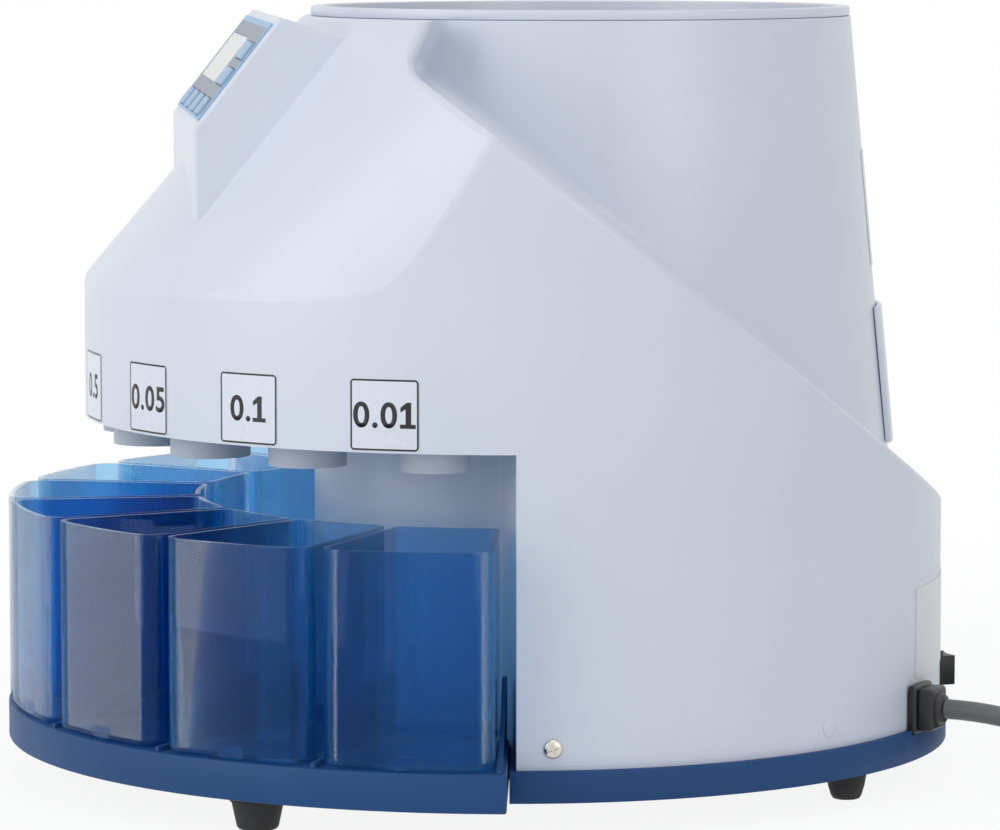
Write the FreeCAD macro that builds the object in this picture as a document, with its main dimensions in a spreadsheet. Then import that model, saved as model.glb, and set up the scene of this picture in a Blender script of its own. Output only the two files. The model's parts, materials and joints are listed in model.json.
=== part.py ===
"""Desktop coin sorting machine, modelled as separate pieces in millimetres.

The machine stands on z = 0 with +Z up. Its bins face -Y and its back faces +Y.
The tray, the bins, the cover and the coin wheel share one upright axis, and every
piece is drawn about that axis first and then moved back by axis_shift, so that the
origin is the middle of the machine's footprint.
"""
import FreeCAD, Part
import Sketcher
import math
import os
import re

Vector = FreeCAD.Vector

SIZES = {
    # Tray that carries the bins, base plate and feet
    "tray_radius": 177.5,
    "tray_height": 12.8,
    "tray_wall": 2.5,
    "tray_half_angle": 83,
    "feet_height": 12,
    "front_foot_radius": 9.2,
    "front_foot_tip_radius": 6.3,
    "front_foot_circle": 160,
    "front_foot_angle": 52,
    "rear_foot_radius": 7,
    "rear_foot_tip_radius": 4.5,
    "rear_foot_circle": 137.4,
    "rear_foot_angle": 138.5,
    "foot_boss_wall": 2,
    "base_radius": 152.3,
    "base_lift": 11,
    "base_height": 10.5,
    "base_floor": 3,
    "hub_disc_radius": 106,
    "divider_thickness": 1.6,
    "divider_rim_height": 1.5,
    "divider_height": 20,
    # Cover
    "cover_radius": 150,
    "cover_wall": 2.5,
    "band_bottom": 124.3,
    "bay_depth": 16,
    "crease_height": 172,
    "crease_step": 0.4,
    "shelf_height": 262.5,
    "slope_top_height": 2.5,
    "slope_top_radius": 195,
    "slope_top_front": 71,
    "valley_front": 46,
    "valley_height": 246,
    "crease_round": 6,
    "ridge_round": 3,
    "valley_round": 5,
    "pod_round": 1.5,
    "shoulder_angle": 38,
    "back_lean": 26,
    "hopper_offset": 23.3,
    "hopper_rim_radius": 94,
    "hopper_taper": 5.3,
    "hopper_foot": 96,
    "rim_height": 3.5,
    "bowl_wall": 2,
    # Control pod and what is in it
    "pod_width": 145.4,
    "pod_front": 115.5,
    "pod_sill": 13.72,
    "pod_floor": 178,
    "pod_back": 58,
    "face_angle": 52,
    "face_length": 46.8,
    "roof_fall": 17,
    "film_margin": 3,
    "film_thickness": 0.6,
    "screen_width": 82,
    "screen_height": 19,
    "screen_side": 24,
    "screen_rise": 17,
    "lcd_frame": 4,
    "lcd_depth": 5.4,
    "row_key_width": 22,
    "row_key_pitch": 33,
    "column_key_width": 34,
    "column_key_side": 47,
    "key_height": 7,
    "row_key_rise": 4.4,
    "column_key_rise": 17,
    "column_key_pitch": 11,
    "key_stand": 0.8,
    "key_travel": 0.6,
    "key_flange": 1.4,
    "key_lip": 1.2,
    "board_thickness": 1.6,
    # Bins
    "bin_pitch": 20,
    "bin_first_angle": 72,
    "bin_inner_radius": 110,
    "bin_rim_set": 0.5,
    "bin_height": 70.6,
    "bin_wall": 2,
    "bin_side_gap": 1.5,
    "bin_outer_corner": 8,
    "bin_inner_corner": 4,
    # Core wall behind the bins
    "core_radius": 70,
    "core_wall": 2.5,
    "wing_set": 3.6,
    # Sorting stack
    "deck_thickness": 3,
    "deck_rise": 0.5,
    "chute_drop": 7.3,
    "chute_circle": 130,
    "chute_room": 5.5,
    "chute_wall": 1.5,
    "segment_inner_radius": 108,
    "coin_one": 15.5,
    "coin_two": 17.5,
    "coin_three": 18.5,
    "coin_four": 19.5,
    "coin_five": 20.5,
    "coin_six": 22,
    "coin_seven": 23,
    "coin_eight": 25,
    "plate_thickness": 1.5,
    "plate_hole_room": 0.6,
    "wheel_thickness": 3,
    "wheel_gap": 0.4,
    "wheel_radius": 116,
    "tyre_width": 4,
    "rib_reach": 76,
    "rib_height": 5,
    "rib_width": 4,
    "rail_radius": 142,
    "rail_width": 3,
    "guard_thickness": 2,
    "sensor_size": 9,
    "hub_cap_radius": 40,
    "hub_cap_height": 24,
    # Drive
    "shaft_radius": 6,
    "bush_radius": 11,
    "bush_length": 10,
    "housing_radius": 20,
    "housing_length": 31,
    "housing_flange_radius": 34,
    "housing_flange": 4,
    "gear_module": 1.8,
    "gear_width": 8,
    "gear_hub_radius": 12,
    "pinion_width": 9,
    "motor_shaft_radius": 3,
    "motor_radius": 19,
    "motor_length": 38,
    "bracket_thickness": 2.5,
    "bracket_leg_radius": 4,
    # Electrics on the base
    "main_board_side": 64,
    "main_board_x": 72,
    "main_board_y": 58,
    "standoff_height": 6,
    "standoff_radius": 3,
    "standoff_inset": 5,
    "supply_side": 58,
    "supply_height": 42,
    "supply_x": 72,
    "supply_y": 50,
    # Power switch, strain relief and cord
    "rocker_bezel_width": 21,
    "rocker_bezel_height": 15,
    "rocker_bezel_depth": 2,
    "rocker_bezel_rim": 2,
    "rocker_stand": 7.5,
    "rocker_tilt": 8,
    "rocker_side_gap": 1.3,
    "rocker_pin_radius": 1,
    "switch_height": 30,
    "switch_depth": 20,
    "gland_angle": 149.5,
    "gland_height": 28.4,
    "gland_side": 16.6,
    "gland_flange": 3,
    "gland_nose": 8,
    "gland_nose_radius": 6,
    "gland_body_radius": 6.5,
    "gland_depth": 13,
    "cord_radius": 3.4,
    "coil_radius": 47.5,
    "coil_pitch": 7.4,
    "coil_dip": 1.9,
    "coil_rise": 4.4,
    "coil_tail": 16,
    "tie_thickness": 0.8,
    "tie_width": 6,
    "plug_length": 32,
    "plug_width": 34,
    "plug_thickness": 21,
    "plug_tail": 16,
    "pin_radius": 2.4,
    "pin_length": 16,
    "pin_spacing": 19,
    # Stickers, plate and screws
    "label_size": 23.2,
    "label_rise": 0.8,
    "label_pitch": 19.24,
    "sticker_thickness": 0.2,
    "rating_low": 38.2,
    "rating_height": 31,
    "rating_angle": 165,
    "rating_width": 80,
    "rear_plate_low": 114.5,
    "rear_plate_height": 47.5,
    "rear_plate_width": 66,
    "rear_plate_stand": 2.2,
    "hopper_sticker_low": 176,
    "hopper_sticker_height": 40,
    "hopper_sticker_width": 56,
    "screw_head_radius": 3.2,
    "screw_head_height": 1.2,
    "screw_radius": 1.5,
    "screw_length": 9,
    "screw_height": 28.5,
    "screw_side_angle": 88.4,
    "screw_rear_angle": 128,
    "screw_post_radius": 5,
    # Fits
    "clearance": 0.3,
    "running_fit": 0.05,
    "sticker_gap": 0.05,
}

GEAR_TEETH = 48
PINION_TEETH = 12
WHEEL_RIBS = 6
BIN_COUNT = 8
COIN_CELLS = ["coin_one", "coin_two", "coin_three", "coin_four",
              "coin_five", "coin_six", "coin_seven", "coin_eight"]
LABEL_STEPS = [3.5, 2.5, 1.5, 0.5, -0.5, -1.5, -2.5, -3.5]
ROW_KEYS = [-1.5, -0.5, 0.5, 1.5]
COLUMN_KEYS = [0, 1]
CORNERS = [(1, 1), (1, -1), (-1, 1), (-1, -1)]

# Pairs of the cover's surfaces and the size that rounds the edge between them
COVER_ROUNDS = {
    "crease_round": [("slope", "barrel")],
    "ridge_round": [("barrel", "shoulder"), ("slope", "shoulder"), ("slope", "ridge"), ("slope", "shelf")],
    "valley_round": [("tower", "shoulder"), ("tower", "ridge"), ("ridge", "shoulder")],
    "pod_round": [("pod",), ("pod", "slope")],
}

# Places worked out from the sizes, written as expressions of the sheet's aliases
AXIS_SHIFT = "((tray_radius - cover_radius - rocker_stand) / 2)"
TRAY_TOP = "(feet_height + tray_height)"
BASE_TOP = "(base_lift + base_height)"
BIN_FLOOR = f"({TRAY_TOP} + clearance)"
BIN_OUTER = "(tray_radius - bin_rim_set)"
INNER_RADIUS = "(cover_radius - cover_wall)"
LINED_RADIUS = f"({INNER_RADIUS} - clearance)"
DECK_LOW = "(band_bottom + deck_rise)"
DECK_TOP = f"({DECK_LOW} + deck_thickness)"
PLATE_TOP = f"({DECK_TOP} + plate_thickness)"
WHEEL_LOW = f"({PLATE_TOP} + wheel_gap)"
WHEEL_TOP = f"({WHEEL_LOW} + wheel_thickness)"
GUARD_LOW = f"({WHEEL_TOP} + wheel_gap)"
GUARD_TOP = f"({GUARD_LOW} + guard_thickness)"
HOUSING_LOW = f"({DECK_LOW} - housing_length)"
GEAR_TOP = f"({HOUSING_LOW} - 3 * clearance)"
GEAR_LOW = f"({GEAR_TOP} - gear_width)"
BRACKET_TOP = f"({GEAR_LOW} - pinion_width + gear_width - 3 * clearance)"
BRACKET_LOW = f"({BRACKET_TOP} - bracket_thickness)"
MOTOR_LOW = f"({BRACKET_LOW} - motor_length)"
BOARD_LOW = f"({BASE_TOP} + standoff_height)"
GEAR_CENTRES = f"(gear_module * {(GEAR_TEETH + PINION_TEETH) / 2} + clearance / 2)"
FAR = "(3 * tray_radius)"
RIM_TOP = "(shelf_height + rim_height)"
SLOPE_TOP = "(shelf_height + slope_top_height)"
SLOPE_RUN = "((cover_radius + crease_step - pod_front) / (cover_radius + crease_step - slope_top_front))"
POD_SILL = f"(crease_height + ({SLOPE_TOP} - crease_height) * {SLOPE_RUN} + pod_sill)"
STACK_BACK = (f"(-valley_front + (valley_height - {GUARD_TOP} - cover_wall / cos(shoulder_angle))"
              " / tan(shoulder_angle) - 2 * clearance)")

ALIAS = re.compile(r"[a-z][a-z_]*")
YZ_PLANE = FreeCAD.Rotation(Vector(1, 1, 1), 120)
XZ_PLANE = FreeCAD.Rotation(Vector(1, 0, 0), 90)
XY_PLANE = FreeCAD.Rotation()

doc = FreeCAD.newDocument("coin_sorter")
sheet = doc.addObject("Spreadsheet::Sheet", "sizes")
for row, (alias, number) in enumerate(SIZES.items(), start=1):
    sheet.set(f"A{row}", alias)
    sheet.set(f"B{row}", str(number))
    sheet.setAlias(f"B{row}", alias)
doc.recompute()

sub_parts = {}


def size(alias):
    """The number in one cell of the sheet."""
    return float(sheet.get(alias))


def led_by_sheet(text):
    """An expression with every alias led by the sheet's name."""
    return ALIAS.sub(lambda word: f"sizes.{word[0]}" if word[0] in SIZES else word[0], text)


def bind(obj, expressions):
    """Tie properties of an object to expressions of the sheet's aliases."""
    for path, text in expressions.items():
        obj.setExpression(path, led_by_sheet(text))
    return obj


def keep(obj, node):
    """Make an object the sub-part of that name and move it back by the axis shift."""
    drawn = [text for path, text in obj.ExpressionEngine if path.endswith("Placement.Base.y")]
    obj.setExpression("Placement.Base.y", " + ".join(drawn + [led_by_sheet(AXIS_SHIFT)]))
    obj.Label = node
    sub_parts[node] = obj
    return obj


def cylinder(name, radius, low, high, x="0", y="0"):
    obj = doc.addObject("Part::Cylinder", name)
    return bind(obj, {"Radius": radius, "Height": f"{high} - ({low})", "Placement.Base.x": x,
                      "Placement.Base.y": y, "Placement.Base.z": low})


def cone(name, low_radius, high_radius, low, high, x="0", y="0"):
    obj = doc.addObject("Part::Cone", name)
    return bind(obj, {"Radius1": low_radius, "Radius2": high_radius, "Height": f"{high} - ({low})",
                      "Placement.Base.x": x, "Placement.Base.y": y, "Placement.Base.z": low})


def block(name, x, y, z):
    """Box between a low and a high expression on each axis."""
    obj = doc.addObject("Part::Box", name)
    return bind(obj, {"Length": f"{x[1]} - ({x[0]})", "Width": f"{y[1]} - ({y[0]})",
                      "Height": f"{z[1]} - ({z[0]})", "Placement.Base.x": x[0],
                      "Placement.Base.y": y[0], "Placement.Base.z": z[0]})


def cut(name, base, *tools):
    obj = doc.addObject("Part::Cut", name)
    obj.Base = base
    obj.Tool = tools[0] if len(tools) == 1 else fuse(f"{name}_tools", *tools)
    return obj


def fuse(name, *shapes):
    obj = doc.addObject("Part::MultiFuse", name)
    obj.Shapes = list(shapes)
    return obj


def common(name, *shapes):
    obj = doc.addObject("Part::MultiCommon", name)
    obj.Shapes = list(shapes)
    return obj


def group(name, *shapes):
    """Separate solids that share one sub-part."""
    obj = doc.addObject("Part::Compound", name)
    obj.Links = list(shapes)
    return obj


def turn(obj, angle, axis=Vector(0, 0, 1)):
    """Turn an object about its own placement's axis by an expression in degrees."""
    obj.Placement = FreeCAD.Placement(obj.Placement.Base, FreeCAD.Rotation(axis, 1))
    return bind(obj, {"Placement.Rotation.Angle": angle})


def outline(name, points, plane):
    """Closed sketch of straight lines whose corners are pairs of expressions."""
    sketch = doc.addObject("Sketcher::SketchObject", name)
    sketch.Placement = FreeCAD.Placement(Vector(), plane)
    count = len(points)
    spots = [Vector(math.cos(2 * math.pi * i / count), math.sin(2 * math.pi * i / count), 0)
             for i in range(count)]
    for i in range(count):
        sketch.addGeometry(Part.LineSegment(spots[i], spots[(i + 1) % count]), False)
    for i in range(count):
        sketch.addConstraint(Sketcher.Constraint("Coincident", i, 2, (i + 1) % count, 1))
    for i, (across, up) in enumerate(points):
        for kind, text, start in (("DistanceX", across, spots[i].x), ("DistanceY", up, spots[i].y)):
            index = sketch.addConstraint(Sketcher.Constraint(kind, i, 1, start))
            bind(sketch, {f"Constraints[{index}]": text})
    return sketch


def extruded(name, points, plane, direction, length, offset="0"):
    """Solid of an outline drawn out by a length, from an offset along the direction."""
    obj = doc.addObject("Part::Extrusion", name)
    obj.Base = outline(f"{name}_outline", points, plane)
    obj.DirMode = "Custom"
    obj.Dir = direction
    obj.Solid = True
    axis = "xyz"[max(range(3), key=lambda i: direction[i])]
    return bind(obj, {"LengthFwd": length, f"Placement.Base.{axis}": offset})


def turned(name, points, y="0"):
    """Solid of an outline of radius and height pairs, turned about an upright axis."""
    obj = doc.addObject("Part::Revolution", name)
    obj.Source = outline(f"{name}_outline", points, XZ_PLANE)
    obj.Axis = Vector(0, 0, 1)
    obj.Base = Vector()
    obj.Angle = 360
    obj.Solid = True
    return bind(obj, {"Placement.Base.y": y})


def front_sector(name, half_angle, low, high):
    """Everything within an angle of the front, as an upright wedge."""
    reach_x = f"{FAR} * sin({half_angle})"
    reach_y = f"-{FAR} * cos({half_angle})"
    points = [("0", "0"), (f"-{reach_x}", reach_y), (f"-{FAR}", f"-{FAR}"),
              (FAR, f"-{FAR}"), (reach_x, reach_y)]
    return extruded(name, points, XY_PLANE, Vector(0, 0, 1), f"{high} - ({low})", low)


def ring(name, inner, outer, low, high, y="0"):
    hole = cylinder(f"{name}_hole", inner, f"{low} - 1", f"{high} + 1", y=y)
    return cut(name, cylinder(f"{name}_disc", outer, low, high, y=y), hole)


def around(radius, angle):
    """Expressions of x and y at a radius and an angle from the front towards +X."""
    return f"({radius}) * sin({angle})", f"-({radius}) * cos({angle})"


def outwards_spin(angle):
    """Rotation that lays an upright cylinder level, pointing outwards at an angle from the front."""
    return FreeCAD.Rotation(Vector(0, 0, 1), angle).multiply(FreeCAD.Rotation(Vector(1, 0, 0), 90))


def radial_cylinder(name, radius, start, end, angle, height):
    """Level cylinder that points outwards between two radii at an angle from the front."""
    x, y = around(start, angle)
    obj = doc.addObject("Part::Cylinder", name)
    obj.Placement = FreeCAD.Placement(Vector(), outwards_spin(size(angle)))
    return bind(obj, {"Radius": radius, "Height": f"{end} - ({start})", "Placement.Base.x": x,
                      "Placement.Base.y": y, "Placement.Base.z": height})


def make_base():
    """Base plate with a rear rim, a hub disc under the core and posts for the cover's screws."""
    rim = cylinder("base_rim", "base_radius", "base_lift", BASE_TOP)
    bay = common("base_bay", ring("base_bay_ring", "hub_disc_radius", FAR, "0", f"2 * {BASE_TOP}"),
                 front_sector("base_bay_sector", "tray_half_angle", "0", f"2 * {BASE_TOP}"))
    recess_top = f"{BASE_TOP} - base_floor"
    recess_bay = common("base_recess_bay",
                        ring("base_recess_bay_ring", "hub_disc_radius - tray_wall", FAR, "0", BASE_TOP),
                        front_sector("base_recess_sector", "tray_half_angle + 2", "0", BASE_TOP))
    recess_disc = cylinder("base_recess_disc", "base_radius - tray_wall", "base_lift - 1", recess_top)
    recess = cut("base_recess", recess_disc, recess_bay)
    bosses = []
    posts = []
    for side, sign in (("right", ""), ("left", "-")):
        x, y = around("rear_foot_circle", f"{sign}rear_foot_angle")
        bosses.append(cylinder(f"rear_boss_{side}", "rear_foot_radius + foot_boss_wall", "base_lift",
                               f"{BASE_TOP} - base_floor / 2", x, y))
        for spot in ("side", "rear"):
            x, y = around(f"{INNER_RADIUS} - clearance - screw_post_radius", f"{sign}screw_{spot}_angle")
            posts.append(cylinder(f"post_{spot}_{side}", "screw_post_radius", f"{BASE_TOP} - base_floor / 2",
                                  "screw_height + screw_post_radius", x, y))
    plate = cut("base_shell", rim, bay, recess)
    notch = turn_slab("gland_notch", "-gland_side / 2 - clearance", "gland_side / 2 + clearance",
                      "gland_angle", "gland_height - gland_side / 2 - clearance", f"2 * {BASE_TOP}")
    notch_keep = cylinder("gland_notch_keep", "cover_radius", "0", f"3 * {BASE_TOP}")
    whole = fuse("base_whole", plate, *bosses, *posts)
    holes = [cut("gland_notch_rim", notch, notch_keep), *screw_shanks("bore", "clearance")]
    keep(cut("base_plate", whole, *holes), "base_plate")


def screw_shanks(name, room):
    """The four radial screw shanks, or their holes with some room round them."""
    shanks = []
    for angle in ("screw_side_angle", "screw_rear_angle"):
        for side, sign in (("right", 1), ("left", -1)):
            x, y = around("cover_radius - screw_length", angle if sign > 0 else f"-{angle}")
            obj = doc.addObject("Part::Cylinder", f"screw_{name}_{angle}_{side}")
            obj.Placement = FreeCAD.Placement(Vector(), outwards_spin(sign * size(angle)))
            shanks.append(bind(obj, {
                "Radius": f"screw_radius + {room}", "Height": "screw_length + sticker_gap",
                "Placement.Base.x": x, "Placement.Base.y": y, "Placement.Base.z": "screw_height"}))
    return shanks


def make_tray():
    """Bin tray: a front sector with an open underside and foot bosses, and the dividers that rise from it."""
    inner = "hub_disc_radius + clearance"
    outer = common("tray_outer", ring("tray_ring", inner, "tray_radius", "feet_height", TRAY_TOP),
                   front_sector("tray_sector", "tray_half_angle - 0.2", "0", f"2 * {TRAY_TOP}"))
    under = common("tray_under",
                   ring("tray_under_ring", f"{inner} + tray_wall", "tray_radius - tray_wall",
                        "feet_height - 1", f"{TRAY_TOP} - tray_wall"),
                   front_sector("tray_under_sector", "tray_half_angle - 2", "0", TRAY_TOP))
    pieces = [cut("tray_shell", outer, under)]
    for side, sign in (("right", ""), ("left", "-")):
        x, y = around("front_foot_circle", f"{sign}front_foot_angle")
        pieces.append(cylinder(f"front_boss_{side}", "front_foot_radius + foot_boss_wall", "feet_height",
                               f"{TRAY_TOP} - tray_wall / 2", x, y))
    rise = f"{TRAY_TOP} + divider_rim_height"
    points = [("tray_radius - tray_wall / 2", TRAY_TOP), ("tray_radius - tray_wall / 2", rise),
              ("(tray_radius * 0.6 + bin_inner_radius * 0.4)", f"{rise} + divider_height * 0.12"),
              ("(tray_radius * 0.25 + bin_inner_radius * 0.75)", f"{rise} + divider_height * 0.6"),
              ("bin_inner_radius + 2 * tray_wall", f"{rise} + divider_height"),
              ("bin_inner_radius", f"{rise} + divider_height"), ("bin_inner_radius", TRAY_TOP)]
    sketch = outline("divider_outline", points, XZ_PLANE)
    fins = []
    for i in range(BIN_COUNT + 1):
        fin = doc.addObject("Part::Extrusion", f"divider_{i + 1}")
        fin.Base = sketch
        fin.DirMode = "Custom"
        fin.Dir = Vector(0, 1, 0)
        fin.Solid = True
        fin.Symmetric = True
        bind(fin, {"LengthFwd": "divider_thickness"})
        fins.append(turn(fin, f"bin_first_angle + bin_pitch * {0.5 - i} - 90"))
    keep(fuse("bin_tray", *pieces), "bin_tray")
    keep(group("bin_dividers", *fins), "bin_dividers")


def make_feet():
    for node, radius, tip, circle, angle, seat in (
            ("front_feet", "front_foot_radius", "front_foot_tip_radius", "front_foot_circle",
             "front_foot_angle", "feet_height"),
            ("rear_feet", "rear_foot_radius", "rear_foot_tip_radius", "rear_foot_circle",
             "rear_foot_angle", "base_lift")):
        feet = []
        for side, sign in (("right", ""), ("left", "-")):
            x, y = around(circle, f"{sign}{angle}")
            feet.append(cone(f"{node}_{side}", tip, radius, "0", seat, x, y))
        keep(group(node, *feet), node)


def tower_radius(height):
    """Radius of the hopper tower's outside at a height."""
    return f"(hopper_rim_radius + tan(hopper_taper) * ({RIM_TOP} - ({height})))"


def cover_solid(name, inset, low):
    """The cover's outside as one solid, drawn inwards by an inset on every wall."""
    radius = f"(cover_radius - {inset})"
    crease = f"(crease_height - 0.4 * {inset})"
    slope_top = f"({SLOPE_TOP} - 0.4 * {inset})"
    barrel = cylinder(f"{name}_barrel", radius, low, f"shelf_height - {inset}")
    foot_ring = doc.addObject("Part::Circle", f"{name}_slope_foot")
    bind(foot_ring, {"Radius": f"{radius} + crease_step", "Placement.Base.z": crease})
    top_ring = doc.addObject("Part::Circle", f"{name}_slope_top")
    bind(top_ring, {"Radius": f"slope_top_radius - {inset}", "Placement.Base.z": slope_top,
                    "Placement.Base.y": "slope_top_radius - slope_top_front"})
    slope = doc.addObject("Part::Loft", f"{name}_slope")
    slope.Sections = [foot_ring, top_ring]
    slope.Solid = True
    slope.Ruled = True
    beyond = cut(f"{name}_beyond", cylinder(f"{name}_field", FAR, crease, slope_top), slope)
    body = cut(f"{name}_body", barrel, beyond)
    scoop = common(f"{name}_scoop", valley_block(f"{name}_over", inset, "-shoulder_angle", "rear"),
                   valley_block(f"{name}_behind", inset, "-back_lean", "up"))
    tower = cone(f"{name}_tower", f"{tower_radius('hopper_foot')} - {inset}",
                 f"{tower_radius('shelf_height')} - {inset}", "hopper_foot",
                 "shelf_height", y="hopper_offset")
    return fuse(f"{name}_solid", cut(f"{name}_scooped", body, scoop), tower, make_pod(f"{name}_pod", inset))


def valley_block(name, inset, angle, way):
    """Large block whose lower or front face passes through the valley line."""
    obj = doc.addObject("Part::Box", name)
    turn(obj, angle, Vector(1, 0, 0))
    bind(obj, {"Length": FAR, "Width": f"2 * {FAR}", "Height": f"2 * {FAR}",
               "Placement.Base.x": f"-{FAR} / 2"})
    if way == "rear":
        lead_y, lead_z = f"-{FAR}", f"-{inset}"
    else:
        lead_y, lead_z = f"-{inset}", f"-{FAR}"
    tilt = f"({angle})"
    return bind(obj, {"Placement.Base.y": f"-valley_front + ({lead_y}) * cos{tilt} - ({lead_z}) * sin{tilt}",
                      "Placement.Base.z": f"valley_height + ({lead_y}) * sin{tilt} + ({lead_z}) * cos{tilt}"})


def make_pod(name, inset):
    """Wedge that stands out of the slope and carries the control panel."""
    face_y = "(-pod_front + face_length * cos(face_angle))"
    face_z = f"({POD_SILL} + face_length * sin(face_angle))"
    front = f"(-pod_front + {inset})"
    sill = f"({POD_SILL} - {inset} * tan((90 - face_angle) / 2))"
    half_top = f"({inset} * tan((face_angle + roof_fall) / 2))"
    ridge_y = f"({face_y} - {half_top} * cos(face_angle) + {inset} * sin(face_angle))"
    ridge_z = f"({face_z} - {half_top} * sin(face_angle) - {inset} * cos(face_angle))"
    points = [(front, "pod_floor"), (front, sill), (ridge_y, ridge_z),
              ("-pod_back", f"{ridge_z} - (-pod_back - {ridge_y}) * tan(roof_fall)"),
              ("-pod_back", "pod_floor")]
    return extruded(name, points, YZ_PLANE, Vector(1, 0, 0), f"pod_width - 2 * {inset}",
                    f"-pod_width / 2 + {inset}")


def face_block(name, across, along, out):
    """Box in the control face's own frame: across, up the face and out of it."""
    obj = doc.addObject("Part::Box", name)
    turn(obj, "face_angle", Vector(1, 0, 0))
    return bind(obj, {
        "Length": f"{across[1]} - ({across[0]})",
        "Width": f"{along[1]} - ({along[0]})",
        "Height": f"{out[1]} - ({out[0]})",
        "Placement.Base.x": across[0],
        "Placement.Base.y": f"-pod_front + ({along[0]}) * cos(face_angle) - ({out[0]}) * sin(face_angle)",
        "Placement.Base.z": f"{POD_SILL} + ({along[0]}) * sin(face_angle) + ({out[0]}) * cos(face_angle)"})


def key_places():
    """Name, middle, width and lower edge of each panel key."""
    places = []
    for i, step in enumerate(ROW_KEYS):
        places.append((f"row_key_{i + 1}", f"row_key_pitch * {step}", "row_key_width", "row_key_rise"))
    for i in COLUMN_KEYS:
        places.append((f"side_key_{i + 1}", "column_key_side", "column_key_width",
                       f"(column_key_rise + column_key_pitch * {i})"))
    return places


def spread(middle, width, room="0"):
    """Low and high ends of a width about its middle, with some room beyond each end."""
    return f"{middle} - ({width}) / 2 - ({room})", f"{middle} + ({width}) / 2 + ({room})"


def key_holes(name, low, high):
    holes = []
    for key, middle, width, rise in key_places():
        holes.append(face_block(f"{name}_{key}", spread(middle, width, "clearance"),
                                (f"{rise} - clearance", f"{rise} + key_height + clearance"), (low, high)))
    return holes


def screen_block(name, room, low, high):
    return face_block(name, spread("-screen_side", "screen_width", room),
                      (f"screen_rise - {room}", f"screen_rise + screen_height + {room}"), (low, high))


def face_kind(face):
    """Which of the cover's surfaces a face belongs to."""
    surface = face.Surface
    if isinstance(surface, Part.Cylinder):
        return "barrel"
    if isinstance(surface, Part.Cone):
        return "tower"
    if not isinstance(surface, Part.Plane):
        return "slope"
    normal = face.normalAt(0, 0)
    if abs(normal.z) > 0.999:
        return "shelf" if normal.z > 0 else "foot"
    if abs(normal.x) > 0.999 or normal.y < -0.1:
        return "pod"
    roof = math.radians(size("roof_fall"))
    if abs(normal.y - math.sin(roof)) < 1e-6 and face.CenterOfMass.z > size("valley_height"):
        return "pod"
    return "shoulder" if normal.y < math.cos(math.radians(size("back_lean"))) - 1e-6 else "ridge"


def softened(name, solid):
    """The cover's outside with its creases, valleys and pod edges rounded."""
    doc.recompute()
    rounds = {frozenset(pair): alias for alias, pairs in COVER_ROUNDS.items() for pair in pairs}
    edges = []
    for index, edge in enumerate(solid.Shape.Edges, start=1):
        kinds = [face_kind(face) for face in solid.Shape.ancestorsOfType(edge, Part.Face)]
        alias = rounds.get(frozenset(kinds)) if len(kinds) == 2 else None
        if alias:
            edges.append((index, size(alias), size(alias)))
    obj = doc.addObject("Part::Fillet", name)
    obj.Base = solid
    obj.Edges = edges
    return obj


def make_cover():
    outside = softened("outside_soft", cover_solid("outside", "0", BASE_TOP))
    inside = cover_solid("inside", "cover_wall", f"{BASE_TOP} - 1")
    mouth = cone("hopper_mouth", f"{tower_radius('shelf_height - 2 * cover_wall')} - cover_wall",
                 f"{tower_radius('shelf_height + 1')} - cover_wall", "shelf_height - 2 * cover_wall",
                 "shelf_height + 1", y="hopper_offset")
    bay = block("bay", (f"-{FAR}", FAR), (f"-{FAR}", "-bay_depth"), ("0", "band_bottom"))
    through = ("cover_radius - 5 * cover_wall", "cover_radius + cover_wall")
    switch_hole = block("switch_hole", spread("0", "rocker_bezel_width - rocker_bezel_rim", "clearance"),
                        through,
                        spread("switch_height", "rocker_bezel_height - rocker_bezel_rim", "clearance"))
    gland_hole = radial_cylinder("gland_hole", "gland_body_radius + clearance", *through,
                                 "gland_angle", "gland_height")
    shell = cut("cover_shell", outside, inside)
    holes = [mouth, bay, switch_hole, gland_hole,
             screen_block("screen_hole", "clearance / 2", "-2 * cover_wall", "1"),
             *key_holes("cover_hole", "-2 * cover_wall", "1"), *screw_shanks("hole", "clearance")]
    keep(cut("main_cover", shell, *holes), "main_cover")


def stack_plate(name, radius, low, high):
    """Flat plate that fills the cover: round in front, and behind as wide as the tower."""
    front = common(f"{name}_front", cylinder(f"{name}_disc", radius, low, high),
                   block(f"{name}_field", (f"-{FAR}", FAR), (f"-{FAR}", STACK_BACK), ("0", RIM_TOP)))
    back = cylinder(f"{name}_back", bowl_radius(high), low, high, y="hopper_offset")
    return fuse(f"{name}_whole", front, back)


def bowl_radius(height):
    """Radius of what lines the hopper tower's inside at a height."""
    return f"({tower_radius(height)} - cover_wall - clearance)"


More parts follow.
